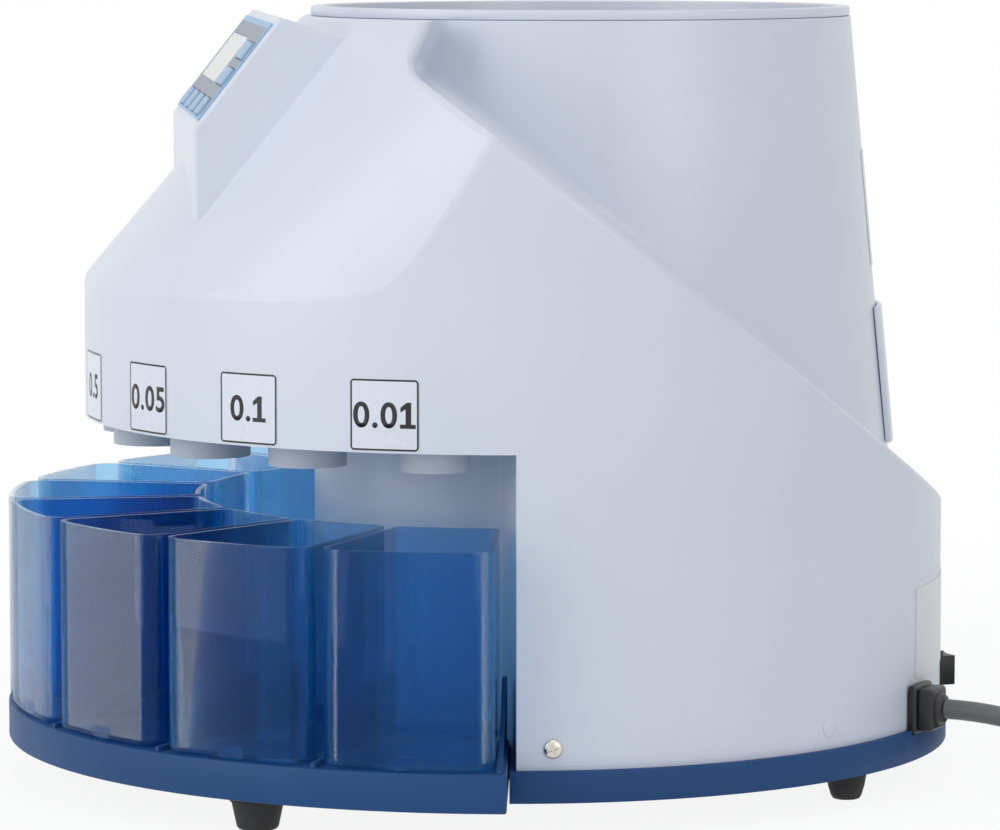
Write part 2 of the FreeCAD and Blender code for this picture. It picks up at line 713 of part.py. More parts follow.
def make_hopper():
    """Bowl that lines the hopper tower and caps it with a lip, and the guard under it."""
    low = GUARD_TOP
    points = [(f"{bowl_radius(low)} - bowl_wall", low), (bowl_radius(low), low),
              (bowl_radius("shelf_height"), "shelf_height"), ("hopper_rim_radius", "shelf_height"),
              ("hopper_rim_radius", RIM_TOP), (f"{bowl_radius(RIM_TOP)} - bowl_wall", RIM_TOP)]
    keep(turned("hopper_bowl", points, y="hopper_offset"), "hopper_bowl")
    guard_hole = cylinder("guard_hole", f"{bowl_radius(low)} - bowl_wall", f"{GUARD_LOW} - 1",
                          f"{GUARD_TOP} + 1", y="hopper_offset")
    guard = stack_plate("guard", LINED_RADIUS, GUARD_LOW, GUARD_TOP)
    keep(cut("wheel_guard", guard, guard_hole), "wheel_guard")
    sensors = []
    for i in range(BIN_COUNT):
        x, y = around("chute_circle", f"(bin_first_angle - bin_pitch * {i})")
        sensors.append(block(f"sensor_{i + 1}", spread(x, "sensor_size"), spread(y, "sensor_size"),
                             (GUARD_TOP, f"{GUARD_TOP} + sensor_size")))
    keep(group("coin_sensors", *sensors), "coin_sensors")


def make_core():
    """Upright wall that closes the space behind the bins: a round front and two flat wings."""
    flat_front = "(-bay_depth + wing_set)"
    flat_back = f"({flat_front} + core_wall)"
    front_half = block("core_front_half", (f"-{FAR}", FAR), (f"-{FAR}", flat_back), ("0", "2 * band_bottom"))
    tube_wall = ring("core_ring", "core_radius - core_wall", "core_radius", BASE_TOP, DECK_LOW)
    column = common("core_column", tube_wall, front_half)
    wings = common("core_wings", cylinder("core_reach", LINED_RADIUS, BASE_TOP, DECK_LOW),
                   block("core_flat", (f"-{FAR}", FAR), (flat_front, flat_back), ("0", "2 * band_bottom")))
    opening = cylinder("core_opening", "core_radius - core_wall / 2", "0", "2 * band_bottom")
    keep(fuse("core_wall", column, cut("core_flats", wings, opening)), "core_wall")


def make_deck():
    """Deck under the sorting plate, with an outlet segment and its chute set into it over each bin."""
    cut_ring = ring("deck_cut_ring", "segment_inner_radius", "cover_radius",
                    f"{DECK_LOW} - 1", f"{DECK_TOP} + 1")
    cut_sector = front_sector("deck_cut_sector", f"bin_pitch * {BIN_COUNT / 2}", "0", f"2 * {DECK_TOP}")
    turn(cut_sector, f"bin_first_angle - bin_pitch * {(BIN_COUNT - 1) / 2}")
    shaft_hole = cylinder("deck_shaft_hole", "shaft_radius + 1", f"{DECK_LOW} - 1", f"{DECK_TOP} + 1")
    deck = [cut("deck_middle", stack_plate("deck", LINED_RADIUS, DECK_LOW, DECK_TOP),
                common("deck_cut", cut_ring, cut_sector), shaft_hole)]
    plate_holes = [cylinder("plate_shaft_hole", "shaft_radius + 2", f"{DECK_TOP} - 1", f"{PLATE_TOP} + 1")]
    for i, coin in enumerate(COIN_CELLS):
        angle = f"(bin_first_angle - bin_pitch * {i})"
        x, y = around("chute_circle", angle)
        name = f"segment_{i + 1}"
        sector = turn(front_sector(f"{name}_sector", "bin_pitch / 2", "0", f"2 * {DECK_TOP}"), angle)
        plate = common(f"{name}_plate", sector,
                       ring(f"{name}_ring", "segment_inner_radius", LINED_RADIUS, DECK_LOW, DECK_TOP))
        chute = cylinder(f"chute_{i + 1}", f"({coin} + chute_room) / 2 + chute_wall",
                         "band_bottom - chute_drop", f"{DECK_LOW} + deck_thickness / 2", x, y)
        bore = cylinder(f"chute_bore_{i + 1}", f"({coin} + chute_room) / 2",
                        "band_bottom - 2 * chute_drop", f"{DECK_TOP} + 1", x, y)
        deck.append(cut(name, fuse(f"{name}_with_chute", plate, chute), bore))
        plate_holes.append(cylinder(f"plate_hole_{i + 1}", f"({coin} + plate_hole_room) / 2",
                                    f"{DECK_TOP} - 1", f"{PLATE_TOP} + 1", x, y))
    keep(group("outlet_deck", *deck), "outlet_deck")
    plate = stack_plate("plate", f"{LINED_RADIUS} - clearance", DECK_TOP, PLATE_TOP)
    keep(cut("sorting_plate", plate, *plate_holes), "sorting_plate")
    rail = ring("rail_ring", "rail_radius", "rail_radius + rail_width", PLATE_TOP, GUARD_LOW)
    rail_reach = front_sector("rail_sector", "tray_half_angle", "0", RIM_TOP)
    keep(common("coin_rail", rail, rail_reach), "coin_rail")


def make_wheel():
    """Coin wheel with ribs on it and a rubber tyre, its hub cap and the shaft that turns it."""
    bore = "shaft_radius + running_fit"
    keep(ring("coin_wheel", bore, "wheel_radius - tyre_width", WHEEL_LOW, WHEEL_TOP), "coin_wheel")
    ribs = []
    rib_start = "-hub_cap_radius - clearance"
    rib_points = [("-rib_width / 2", rib_start), ("rib_width / 2", rib_start),
                  ("rib_width / 2", "-rib_reach"), ("-rib_width / 2", "-rib_reach")]
    for i in range(WHEEL_RIBS):
        rib = extruded(f"rib_{i + 1}", rib_points, XY_PLANE, Vector(0, 0, 1), "rib_height", WHEEL_TOP)
        ribs.append(turn(rib, f"{i} * 360 / {WHEEL_RIBS}"))
    keep(group("wheel_ribs", *ribs), "wheel_ribs")
    keep(ring("wheel_tyre", "wheel_radius - tyre_width", "wheel_radius", WHEEL_LOW, WHEEL_TOP), "wheel_tyre")
    shaft_top = f"({WHEEL_TOP} + hub_cap_height / 2)"
    cap_top = f"({WHEEL_TOP} + hub_cap_height)"
    cap = [(bore, WHEEL_TOP), ("hub_cap_radius", WHEEL_TOP),
           ("hub_cap_radius * 0.93", f"{WHEEL_TOP} + hub_cap_height * 0.3"),
           ("hub_cap_radius * 0.55", f"{WHEEL_TOP} + hub_cap_height * 0.8"),
           ("hub_cap_radius * 0.2", cap_top), ("0", cap_top),
           ("0", f"{shaft_top} + clearance"), (bore, f"{shaft_top} + clearance")]
    keep(turned("hub_cap", cap), "hub_cap")
    keep(cylinder("drive_shaft", "shaft_radius", f"{GEAR_LOW} - 4 * clearance", shaft_top), "drive_shaft")


def make_bearings():
    flange_low = f"({DECK_LOW} - housing_flange)"
    points = [("bush_radius + running_fit", HOUSING_LOW), ("housing_radius", HOUSING_LOW),
              ("housing_radius", flange_low), ("housing_flange_radius", flange_low),
              ("housing_flange_radius", DECK_LOW), ("bush_radius + running_fit", DECK_LOW)]
    keep(turned("bearing_housing", points), "bearing_housing")
    bushes = []
    for name, low, high in (("low_bush", HOUSING_LOW, f"{HOUSING_LOW} + bush_length"),
                            ("high_bush", f"{DECK_LOW} - bush_length", DECK_LOW)):
        bushes.append(ring(name, "shaft_radius + running_fit", "bush_radius", low, high))
    keep(group("shaft_bushes", *bushes), "shaft_bushes")


def gear_face(teeth, module, bore, turned_by):
    """Flat involute gear with a bore; each flank goes through its root, pitch line and tip."""
    pitch = teeth * module / 2
    base = pitch * math.cos(math.radians(20))
    thin = 0.12 * module

    def half_tooth(radius):
        """Half of the tooth's angle at a radius."""
        def involute(at):
            pressure = math.acos(min(1, base / at))
            return math.tan(pressure) - pressure
        return math.pi / (2 * teeth) - thin / pitch + involute(pitch) - involute(max(radius, base))

    radii = [pitch - 1.2 * module, max(base, pitch - 0.6 * module), pitch, pitch + 0.9 * module]
    points = []
    for tooth in range(teeth):
        middle = turned_by + 2 * math.pi * tooth / teeth
        for sign, order in ((-1, radii), (1, radii[::-1])):
            for radius in order:
                angle = middle + sign * half_tooth(radius)
                points.append(Vector(radius * math.cos(angle), radius * math.sin(angle), 0))
    outer = Part.Face(Part.makePolygon(points + points[:1]))
    return outer.cut(Part.Face(Part.Wire(Part.Circle(Vector(), Vector(0, 0, 1), bore).toShape())))


def make_gears():
    """Drive gear on the wheel's shaft and the motor's pinion, meshed behind the shaft."""
    module = size("gear_module")
    step = 2 * math.pi / GEAR_TEETH
    gear = doc.addObject("Part::Feature", "drive_gear_teeth")
    gear.Shape = gear_face(GEAR_TEETH, module, size("shaft_radius") + size("running_fit"),
                           math.pi / 2 - step / 2).extrude(Vector(0, 0, size("gear_width")))
    bind(gear, {"Placement.Base.z": GEAR_LOW})
    hub = ring("drive_gear_hub", "shaft_radius + running_fit", "gear_hub_radius",
               f"{GEAR_LOW} - 3 * clearance", GEAR_LOW)
    keep(fuse("drive_gear", gear, hub), "drive_gear")
    pinion = doc.addObject("Part::Feature", "motor_pinion")
    pinion.Shape = gear_face(PINION_TEETH, module, size("motor_shaft_radius") + size("running_fit"),
                             -math.pi / 2).extrude(Vector(0, 0, size("pinion_width")))
    bind(pinion, {"Placement.Base.y": GEAR_CENTRES, "Placement.Base.z": f"{BRACKET_TOP} + 2 * clearance"})
    keep(pinion, "motor_pinion")
    keep(cylinder("motor_shaft", "motor_shaft_radius", f"{BRACKET_LOW} - motor_length / 4", GEAR_TOP,
                  y=GEAR_CENTRES), "motor_shaft")


def make_motor():
    """Motor hung under a plate on four legs."""
    body = cylinder("motor_body", "motor_radius", MOTOR_LOW, BRACKET_LOW, y=GEAR_CENTRES)
    bore = cylinder("motor_bore", "motor_shaft_radius + running_fit",
                    f"{BRACKET_LOW} - motor_length / 4 - clearance", f"{BRACKET_LOW} + 1", y=GEAR_CENTRES)
    keep(cut("motor", body, bore), "motor")
    side = "2 * motor_radius + 4 * bracket_leg_radius"
    plate = block("bracket_plate", spread("0", side), spread(GEAR_CENTRES, side), (BRACKET_LOW, BRACKET_TOP))
    leg_reach = "(motor_radius + bracket_leg_radius)"
    leg_top = f"{BRACKET_TOP} - bracket_thickness / 2"
    legs = []
    for i, (way_x, way_y) in enumerate(CORNERS):
        legs.append(cylinder(f"bracket_leg_{i + 1}", "bracket_leg_radius", BASE_TOP, leg_top,
                             f"{way_x} * {leg_reach}", f"{GEAR_CENTRES} + {way_y} * {leg_reach}"))
    hole = cylinder("bracket_hole", "2 * motor_shaft_radius", f"{BRACKET_LOW} - 1", f"{BRACKET_TOP} + 1",
                    y=GEAR_CENTRES)
    keep(cut("motor_bracket", fuse("bracket_whole", plate, *legs), hole), "motor_bracket")


def make_boards():
    """Main board on four posts and the power supply, both on the base plate."""
    pieces = [block("main_board_plate", spread("-main_board_x", "main_board_side"),
                    spread("main_board_y", "main_board_side"), (BOARD_LOW, f"{BOARD_LOW} + board_thickness"))]
    top = f"({BOARD_LOW} + board_thickness / 2)"
    for i, (way_x, way_y) in enumerate(CORNERS):
        pieces.append(cylinder(f"standoff_{i + 1}", "standoff_radius", BASE_TOP, top,
                               f"-main_board_x + {way_x} * (main_board_side / 2 - standoff_inset)",
                               f"main_board_y + {way_y} * (main_board_side / 2 - standoff_inset)"))
    for name, shift_x, shift_y, wide, deep, tall in (
            ("heat_sink", -0.2, -0.3, 0.5, 0.2, 0.22), ("connector", 0.22, 0.1, 0.2, 0.35, 0.15),
            ("chip", -0.2, 0.15, 0.28, 0.28, 0.08)):
        side = "main_board_side"
        pieces.append(block(f"board_{name}",
                            spread(f"-main_board_x + {shift_x} * {side}", f"{wide} * {side}"),
                            spread(f"main_board_y + {shift_y} * {side}", f"{deep} * {side}"),
                            (top, f"{top} + {tall} * {side}")))
    keep(fuse("main_board", *pieces), "main_board")
    keep(block("power_supply", spread("supply_x", "supply_side"), spread("supply_y", "supply_side"),
               (BASE_TOP, f"{BASE_TOP} + supply_height")), "power_supply")


def make_panel():
    """Film, display window, display, its board, the keys and the switches under them."""
    film_width = "(pod_width - 2 * film_margin)"
    film = face_block("film_sheet", spread("0", film_width), ("film_margin", "face_length - film_margin"),
                      ("0", "film_thickness"))
    keep(cut("panel_film", film, screen_block("film_screen_hole", "clearance / 2", "-1", "1"),
             *key_holes("film_hole", "-1", "1")), "panel_film")
    keep(screen_block("display_window", "0", "-cover_wall", "film_thickness - sticker_gap"), "display_window")
    lcd_top = "(-cover_wall - clearance)"
    board_top = f"({lcd_top} - lcd_depth)"
    keep(screen_block("lcd_module", "lcd_frame", board_top, lcd_top), "lcd_module")
    keep(face_block("display_board", spread("0", f"{film_width} - 4 * cover_wall"),
                    ("film_margin", "face_length - 2 * film_margin"),
                    (f"{board_top} - board_thickness", board_top)), "display_board")
    switches = []
    flange_top = "(-cover_wall - clearance)"
    flange_low = f"({flange_top} - key_flange)"
    for key, middle, width, rise in key_places():
        cap = face_block(f"{key}_cap", spread(middle, width), (rise, f"{rise} + key_height"),
                         (f"{flange_low} + key_flange / 2", "film_thickness + key_stand"))
        flange = face_block(f"{key}_flange", spread(middle, width, "key_lip"),
                            (f"{rise} - key_lip", f"{rise} + key_height + key_lip"), (flange_low, flange_top))
        keep(fuse(key, cap, flange), key)
        switches.append(face_block(f"{key}_switch", spread(middle, "key_height"),
                                   (f"{rise} + key_height * 0.1", f"{rise} + key_height * 0.9"),
                                   (board_top, f"{flange_low} - key_travel - clearance")))
    keep(group("key_switches", *switches), "key_switches")


def make_bins():
    """One bin drawn at the front with its wall and rounded corners, then eight turned copies."""
    def wedge(name, inset, low):
        half = "(bin_pitch / 2)"
        apex = f"((bin_side_gap + {inset}) / sin{half})"
        points = [("0", f"-{apex}"), (f"-{FAR} * sin{half}", f"-{apex} - {FAR} * cos{half}"),
                  (f"{FAR} * sin{half}", f"-{apex} - {FAR} * cos{half}")]
        top = f"{BIN_FLOOR} + bin_height"
        prism = extruded(f"{name}_wedge", points, XY_PLANE, Vector(0, 0, 1), f"{top} - ({low})", low)
        shell = ring(f"{name}_ring", f"bin_inner_radius + {inset}", f"{BIN_OUTER} - {inset}", low, top)
        return common(name, prism, shell)

    def rounded(name, base, inset):
        doc.recompute()
        middle = (size("bin_inner_radius") + size("tray_radius")) / 2
        corners = []
        for index, edge in enumerate(base.Shape.Edges, start=1):
            first, last = (vertex.Point for vertex in edge.Vertexes)
            if abs(first.x - last.x) + abs(first.y - last.y) < 1e-6:
                alias = "bin_outer_corner" if math.hypot(first.x, first.y) > middle else "bin_inner_corner"
                radius = size(alias) - inset
                corners.append((index, radius, radius))
        obj = doc.addObject("Part::Fillet", name)
        obj.Base = base
        obj.Edges = corners
        return obj

    outside = rounded("bin_outside_round", wedge("bin_outside", "0", BIN_FLOOR), 0)
    hollow = wedge("bin_inside", "bin_wall", f"{BIN_FLOOR} + bin_wall")
    master = cut("bin_master", outside, rounded("bin_inside_round", hollow, size("bin_wall")))
    for i in range(BIN_COUNT):
        node = f"coin_bin_{i + 1}"
        keep(turn(group(node, master), f"bin_first_angle - bin_pitch * {i}"), node)


def make_power_switch():
    """Bezel with the switch body behind it, the rocker and the pin that it tilts on."""
    face = "(cover_radius + sticker_gap)"
    wide, tall, rim = "rocker_bezel_width", "rocker_bezel_height", "rocker_bezel_rim"
    bezel = block("bezel_plate", spread("0", wide), (face, f"{face} + rocker_bezel_depth"),
                  spread("switch_height", tall))
    body = block("switch_body", spread("0", f"{wide} - {rim}"),
                 ("cover_radius - switch_depth", f"{face} + rocker_bezel_depth / 2"),
                 spread("switch_height", f"{tall} - {rim}"))
    well = block("switch_well", spread("0", f"{wide} - 2 * {rim}"),
                 ("cover_radius - switch_depth * 0.4", f"{face} + 2 * rocker_bezel_depth"),
                 spread("switch_height", f"{tall} - 2 * {rim}"))
    pin_y = f"({face} - rocker_bezel_depth)"
    pin_ends = spread("switch_height", f"{tall} - 1.5 * {rim}")
    pin_hole = cylinder("pin_hole", "rocker_pin_radius + running_fit", *pin_ends, y=pin_y)
    keep(cut("rocker_bezel", fuse("bezel_whole", bezel, body), well, pin_hole), "rocker_bezel")
    keep(cylinder("rocker_pin", "rocker_pin_radius", *pin_ends, y=pin_y), "rocker_pin")
    reach = "(rocker_bezel_width / 2 - rocker_bezel_rim - rocker_side_gap)"
    brow = f"({reach} * 0.86)"
    crest = f"((cover_radius + rocker_stand - {pin_y} - {brow} * sin(rocker_tilt)) / cos(rocker_tilt))"
    points = [(f"-{reach}", "-2 * rocker_pin_radius"), (reach, "-2 * rocker_pin_radius"),
              (reach, "rocker_pin_radius"), (brow, crest), ("0", f"{crest} - rocker_bezel_rim * 0.6"),
              (f"-{brow}", crest), (f"-{reach}", "rocker_pin_radius")]
    height = f"{tall} - 2 * {rim} - 2 * clearance"
    rocker = extruded("rocker_block", points, XY_PLANE, Vector(0, 0, 1), height,
                      f"switch_height - ({height}) / 2")
    bore = cylinder("rocker_pin_bore", "rocker_pin_radius + running_fit", "0", "2 * switch_height")
    rest = turn(cut("power_rocker", rocker, bore), "rocker_tilt")
    keep(bind(rest, {"Placement.Base.y": pin_y}), "power_rocker")


def make_gland():
    """Strain relief: square flange outside the cover, a body through it and a tapered nose."""
    face = "(cover_radius + clearance)"
    flange = block("gland_plate", spread("0", "gland_side"), (face, f"{face} + gland_flange"),
                   spread("gland_height", "gland_side"))
    body = doc.addObject("Part::Cylinder", "gland_body")
    body.Placement = FreeCAD.Placement(Vector(), FreeCAD.Rotation(Vector(1, 0, 0), -90))
    bind(body, {"Radius": "gland_body_radius", "Height": "gland_depth + gland_flange / 2",
                "Placement.Base.y": f"{face} - gland_depth", "Placement.Base.z": "gland_height"})
    nose = doc.addObject("Part::Cone", "gland_cone")
    nose.Placement = FreeCAD.Placement(Vector(), FreeCAD.Rotation(Vector(1, 0, 0), -90))
    bind(nose, {"Radius1": "gland_nose_radius", "Radius2": "cord_radius + cover_wall / 2",
                "Height": "gland_nose + gland_flange / 2", "Placement.Base.y": f"{face} + gland_flange / 2",
                "Placement.Base.z": "gland_height"})
    whole = fuse("gland_whole", flange, body, nose)
    keep(turn(group("strain_relief", whole), "gland_angle + 180"), "strain_relief")


def cord_route():
    """Corners of the cord's free stretch, from the gland's nose to the coil, about the machine's axis."""
    angle = math.radians(size("gland_angle"))
    reach = size("cover_radius") + size("clearance") + size("gland_flange") + size("gland_nose")
    start = Vector(reach * math.sin(angle), -reach * math.cos(angle), size("gland_height"))
    floor = size("coil_rise")
    outwards = Vector(math.sin(angle), -math.cos(angle), 0)
    points = [start, start + outwards * 16]
    for step in ((9.7, 25.2, -7.5), (2.2, 36.4, -9.5), (-11.3, 35.5, -5.5)):
        points.append(points[-1] + Vector(*step))
    for along_x, along_y, rise in ((-22.6, 22.6, 0.4), (-28.2, 10.3, 0), (-28, 0, 0)):
        points.append(Vector(points[-1].x + along_x, points[-1].y + along_y, floor + rise))
    return points


def bend_radii(points):
    """Radius of the arc at each inner corner of a route."""
    radii = []
    for before, corner, after in zip(points, points[1:], points[2:]):
        run_in, run_out = corner - before, after - corner
        radii.append(0.45 * min(run_in.Length, run_out.Length) / math.tan(run_in.getAngle(run_out) / 2))
    return radii


def rounded_route(points):
    """Wire of straight runs joined by tangent arcs."""
    edges = []
    at = points[0]
    for corner, after, radius in zip(points[1:], points[2:], bend_radii(points)):
        way_in = (corner - at).normalize()
        way_out = (after - corner).normalize()
        half = way_in.getAngle(way_out) / 2
        begin = corner - way_in * radius * math.tan(half)
        end = corner + way_out * radius * math.tan(half)
        inwards = (way_out - way_in).normalize()
        middle = corner + inwards * (radius / math.cos(half) - radius)
        edges.append(Part.LineSegment(at, begin).toShape())
        edges.append(Part.Arc(begin, middle, end).toShape())
        at = end
    edges.append(Part.LineSegment(at, points[-1]).toShape())
    return Part.Wire(edges)


def coil_point(turns, centre):
    """Point of the coil's line after some turns: in, a climbing half turn, and out again."""
    inward = 2.5
    radius = size("coil_radius") - size("coil_pitch") * min(turns, inward)
    climb = min(max((turns - inward) / 0.5, 0), 1)
    radius -= size("coil_dip") * math.sin(math.pi * climb)
    radius += size("coil_pitch") * max(turns - inward - 0.5, 0)
    angle = math.pi / 2 + 2 * math.pi * turns
    lift = size("coil_pitch") * (1 - math.cos(math.pi * climb)) / 2
    return centre + Vector(radius * math.cos(angle), radius * math.sin(angle), lift)


def arc_to(start, way, end):
    """Arc from a point along a direction to another point."""
    chord = end - start
    side = chord - way * chord.dot(way)
    if side.Length < 1e-6:
        return Part.LineSegment(start, end).toShape()
    radius = chord.dot(chord) / (2 * side.Length)
    centre = start + side.normalize() * radius
    middle = centre + ((start - centre) + (end - centre)).normalize() * radius
    return Part.Arc(start, middle, end).toShape()


def biarc(start, way_in, end, way_out):
    """Two arcs that leave one point and reach another along given directions."""
    chord = end - start
    both = way_in + way_out
    spread = 2 * (1 - way_in.dot(way_out))
    lean = chord.dot(both)
    reach = (math.sqrt(lean * lean + spread * chord.dot(chord)) - lean) / spread
    joint = (start + end + (way_in - way_out) * reach) * 0.5
    return [arc_to(start, way_in, joint), arc_to(end, way_out * -1, joint)]


def coil_wire(start):
    """Wire of the whole coil, with a straight run at each end."""
    lead = 2 * size("cord_radius")
    turns = 5.5
    count = round(turns * 4)
    centre = start + Vector(-lead, -size("coil_radius"), 0)
    spots = [coil_point(turns * i / count, centre) for i in range(count + 1)]
    small = 0.02
    ways = []
    for i in range(count + 1):
        before = coil_point(max(turns * i / count - small, 0), centre)
        after = coil_point(min(turns * i / count + small, turns), centre)
        ways.append((after - before).normalize())
    ways[0] = Vector(-1, 0, 0)
    ways[-1] = Vector(1, 0, 0)
    edges = [Part.LineSegment(start, spots[0]).toShape()]
    for i in range(count):
        edges += biarc(spots[i], ways[i], spots[i + 1], ways[i + 1])
    tail = spots[-1] + ways[-1] * size("coil_tail")
    edges.append(Part.LineSegment(spots[-1], tail).toShape())
    return Part.Wire(Part.__sortEdges__(edges)), tail, centre


def tube(wire, start, way, radius):
    """Solid tube of one radius along a wire."""
    section = Part.Wire(Part.Circle(start, way, radius).toShape())
    shell = Part.BRepOffsetAPI.MakePipeShell(wire)
    shell.add(section)
    shell.build()
    shell.makeSolid()
    return shell.shape()


def own_gap(wire, radius):
    """Least gap between turns of a tube, measured on points along its line."""
    spots = wire.discretize(Distance=2.0)
    apart = int(3 * math.pi * radius / 2.0) + 1
    least = min((spots[i] - spots[j]).Length for i in range(len(spots)) for j in range(i + apart, len(spots)))
    return least - 2 * radius


def make_cord():
    """Cord from the strain relief to its coil, the tie round the coil, and the plug."""
    radius = size("cord_radius")
    route = cord_route()
    free = rounded_route(route)
    cord = doc.addObject("Part::Feature", "power_cord")
    cord.Shape = tube(free, route[0], route[1] - route[0], radius)
    keep(cord, "power_cord")
    wire, tail, centre = coil_wire(route[-1])
    coil = doc.addObject("Part::Feature", "cord_coil")
    coil.Shape = tube(wire, route[-1], Vector(-1, 0, 0), radius)
    keep(coil, "cord_coil")
    print("cord bend radii:", [round(value, 1) for value in bend_radii(route)])
    print("free stretch:", round(free.Length, 1), "coil:", round(wire.Length, 1))
    print("cord volume ratios:", round(cord.Shape.Volume / (math.pi * radius ** 2 * free.Length), 4),
          round(coil.Shape.Volume / (math.pi * radius ** 2 * wire.Length), 4))
    print("coil gap to itself:", round(own_gap(wire, radius), 2))
    make_tie(centre)
    make_plug(tail)


def make_tie(centre):
    """Strap round the coil's turns on the side away from the cord's way in."""
    first_turn = centre.x - size("coil_radius") + size("coil_pitch") / 4
    reach = size("cord_radius") + size("clearance")
    outer = first_turn - reach
    inner = first_turn + 2 * size("coil_pitch") + reach
    low = centre.z - size("cord_radius") - size("sticker_gap")
    high = centre.z + size("coil_pitch") + size("cord_radius") + size("clearance")
    wall = size("tie_thickness")
    width = size("tie_width")
    strap = Part.makeBox(inner - outer + 2 * wall, width, high - low + 2 * wall,
                         Vector(outer - wall, centre.y - width / 2, low - wall))
    gap = Part.makeBox(inner - outer, width, high - low, Vector(outer, centre.y - width / 2, low))
    tie = doc.addObject("Part::Feature", "cord_tie")
    tie.Shape = strap.cut(gap)
    keep(tie, "cord_tie")


def make_plug(tail):
    """Plug at the cord's end: a tapered tail, a flat body and two round pins."""
    radius = size("cord_radius")
    tail_length = size("plug_tail")
    length = size("plug_length")
    wide, thick = size("plug_width"), size("plug_thickness")
    cuff = Part.makeCone(radius + 1.2, radius + 3.6, tail_length + 1, tail, Vector(1, 0, 0))
    body = Part.makeBox(length, wide, thick, tail + Vector(tail_length, -wide / 2, -thick / 2))
    upright = [edge for edge in body.Edges if abs(edge.tangentAt(0).z) > 0.9]
    body = body.makeFillet(wide * 0.2, upright)
    plug = doc.addObject("Part::Feature", "mains_plug")
    plug.Shape = body.fuse(cuff).removeSplitter()
    keep(plug, "mains_plug")
    pins = doc.addObject("Part::Feature", "plug_pins")
    front = tail + Vector(tail_length + length, 0, 0)
    pins.Shape = Part.makeCompound([
        Part.makeCylinder(size("pin_radius"), size("pin_length"),
                          front + Vector(0, way * size("pin_spacing") / 2, 0), Vector(1, 0, 0))
        for way in (-1, 1)])
    keep(pins, "plug_pins")


def make_stickers():
    """Number labels on the band, the rating label, and the plate and sticker on the hopper's back."""
    skin = "cover_radius + sticker_gap"
    half = "label_size / 2"
    labels = []
    for i, step in enumerate(LABEL_STEPS):
        band = ring(f"label_band_{i + 1}", skin, f"{skin} + sticker_thickness", "band_bottom",
                    "crease_height")
        slab = turn_slab(f"label_{i + 1}", f"-{half}", half, f"label_pitch * {step}",
                         "band_bottom + label_rise", "band_bottom + label_rise + label_size")
        labels.append(common(f"label_{i + 1}", band, slab))
    keep(group("number_labels", *labels), "number_labels")
    band = ring("rating_band", skin, f"{skin} + sticker_thickness", BASE_TOP, "band_bottom")
    slab = turn_slab("rating", "-rating_width / 2", "rating_width / 2", "rating_angle", "rating_low",
                     "rating_low + rating_height")
    keep(common("rating_label", band, slab), "rating_label")
    for node, low, height, width, gap, stand in (
            ("rear_plate", "rear_plate_low", "rear_plate_height", "rear_plate_width",
             "clearance", "rear_plate_stand"),
            ("hopper_sticker", "hopper_sticker_low", "hopper_sticker_height", "hopper_sticker_width",
             "sticker_gap", "sticker_thickness + sticker_gap")):
        shells = []
        for side, out in (("outer", stand), ("inner", gap)):
            shells.append(cone(f"{node}_{side}", f"{tower_radius('hopper_foot')} + {out}",
                               f"{tower_radius('shelf_height')} + {out}", "hopper_foot", "shelf_height",
                               y="hopper_offset"))
        slab = block(f"{node}_slab", spread("0", width), ("hopper_offset", FAR), (low, f"{low} + {height}"))
        keep(common(node, cut(f"{node}_shell", *shells), slab), node)


def turn_slab(name, left, right, angle, low, high):
    """Upright slab from the axis outwards at an angle from the front."""
    points = [(left, "0"), (right, "0"), (right, f"-{FAR}"), (left, f"-{FAR}")]
    return turn(extruded(f"{name}_slab", points, XY_PLANE, Vector(0, 0, 1), f"{high} - ({low})", low), angle)


def make_screws():
    screws = []
    for i, shank in enumerate(screw_shanks("shank", "0")):
        angle = ("screw_side_angle", "-screw_side_angle", "screw_rear_angle", "-screw_rear_angle")[i]
        sign = -1 if angle.startswith("-") else 1
        x, y = around("cover_radius + sticker_gap", angle)
        head = doc.addObject("Part::Cone", f"screw_head_{i + 1}")
        head.Placement = FreeCAD.Placement(Vector(), outwards_spin(sign * size(angle.lstrip("-"))))
        bind(head, {"Radius1": "screw_head_radius", "Radius2": "screw_head_radius * 0.7",
                    "Height": "screw_head_height", "Placement.Base.x": x, "Placement.Base.y": y,
                    "Placement.Base.z": "screw_height"})
        screws.append(fuse(f"screw_{i + 1}", shank, head))
    keep(group("cover_screws", *screws), "cover_screws")


def check_and_write():
    """Stop if anything failed to build, then write each sub-part's solids."""
    doc.recompute()
    for obj in doc.Objects:
        if "Invalid" in obj.State or "Error" in obj.State:
            raise RuntimeError(f"{obj.Name} failed: {obj.State}")
    for node, obj in sub_parts.items():
        if obj.Shape.isNull() or not obj.Shape.isValid() or not obj.Shape.Solids:
            raise RuntimeError(f"{node} has no sound solid")
    os.makedirs("parts", exist_ok=True)
    for node, obj in sub_parts.items():
        obj.Shape.exportStep(f"parts/{node}.step")
        print(node, len(obj.Shape.Solids), round(obj.Shape.Volume, 1))


make_base()
make_tray()
make_feet()
make_cover()
make_hopper()
make_core()
make_deck()
make_wheel()
make_bearings()
make_gears()
make_motor()
make_boards()
make_panel()
make_bins()
make_power_switch()
make_gland()
make_cord()
make_stickers()
make_screws()
check_and_write()
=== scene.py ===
"""Looks of the desktop coin sorting machine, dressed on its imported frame.

Everything is in metres in the part's own frame: +Z up, the bins face -Y, and the
tray, the bins and the cover share one upright axis at AXIS_Y.
"""
import json
import math

import bmesh
import bpy
from mathutils import Matrix, Vector


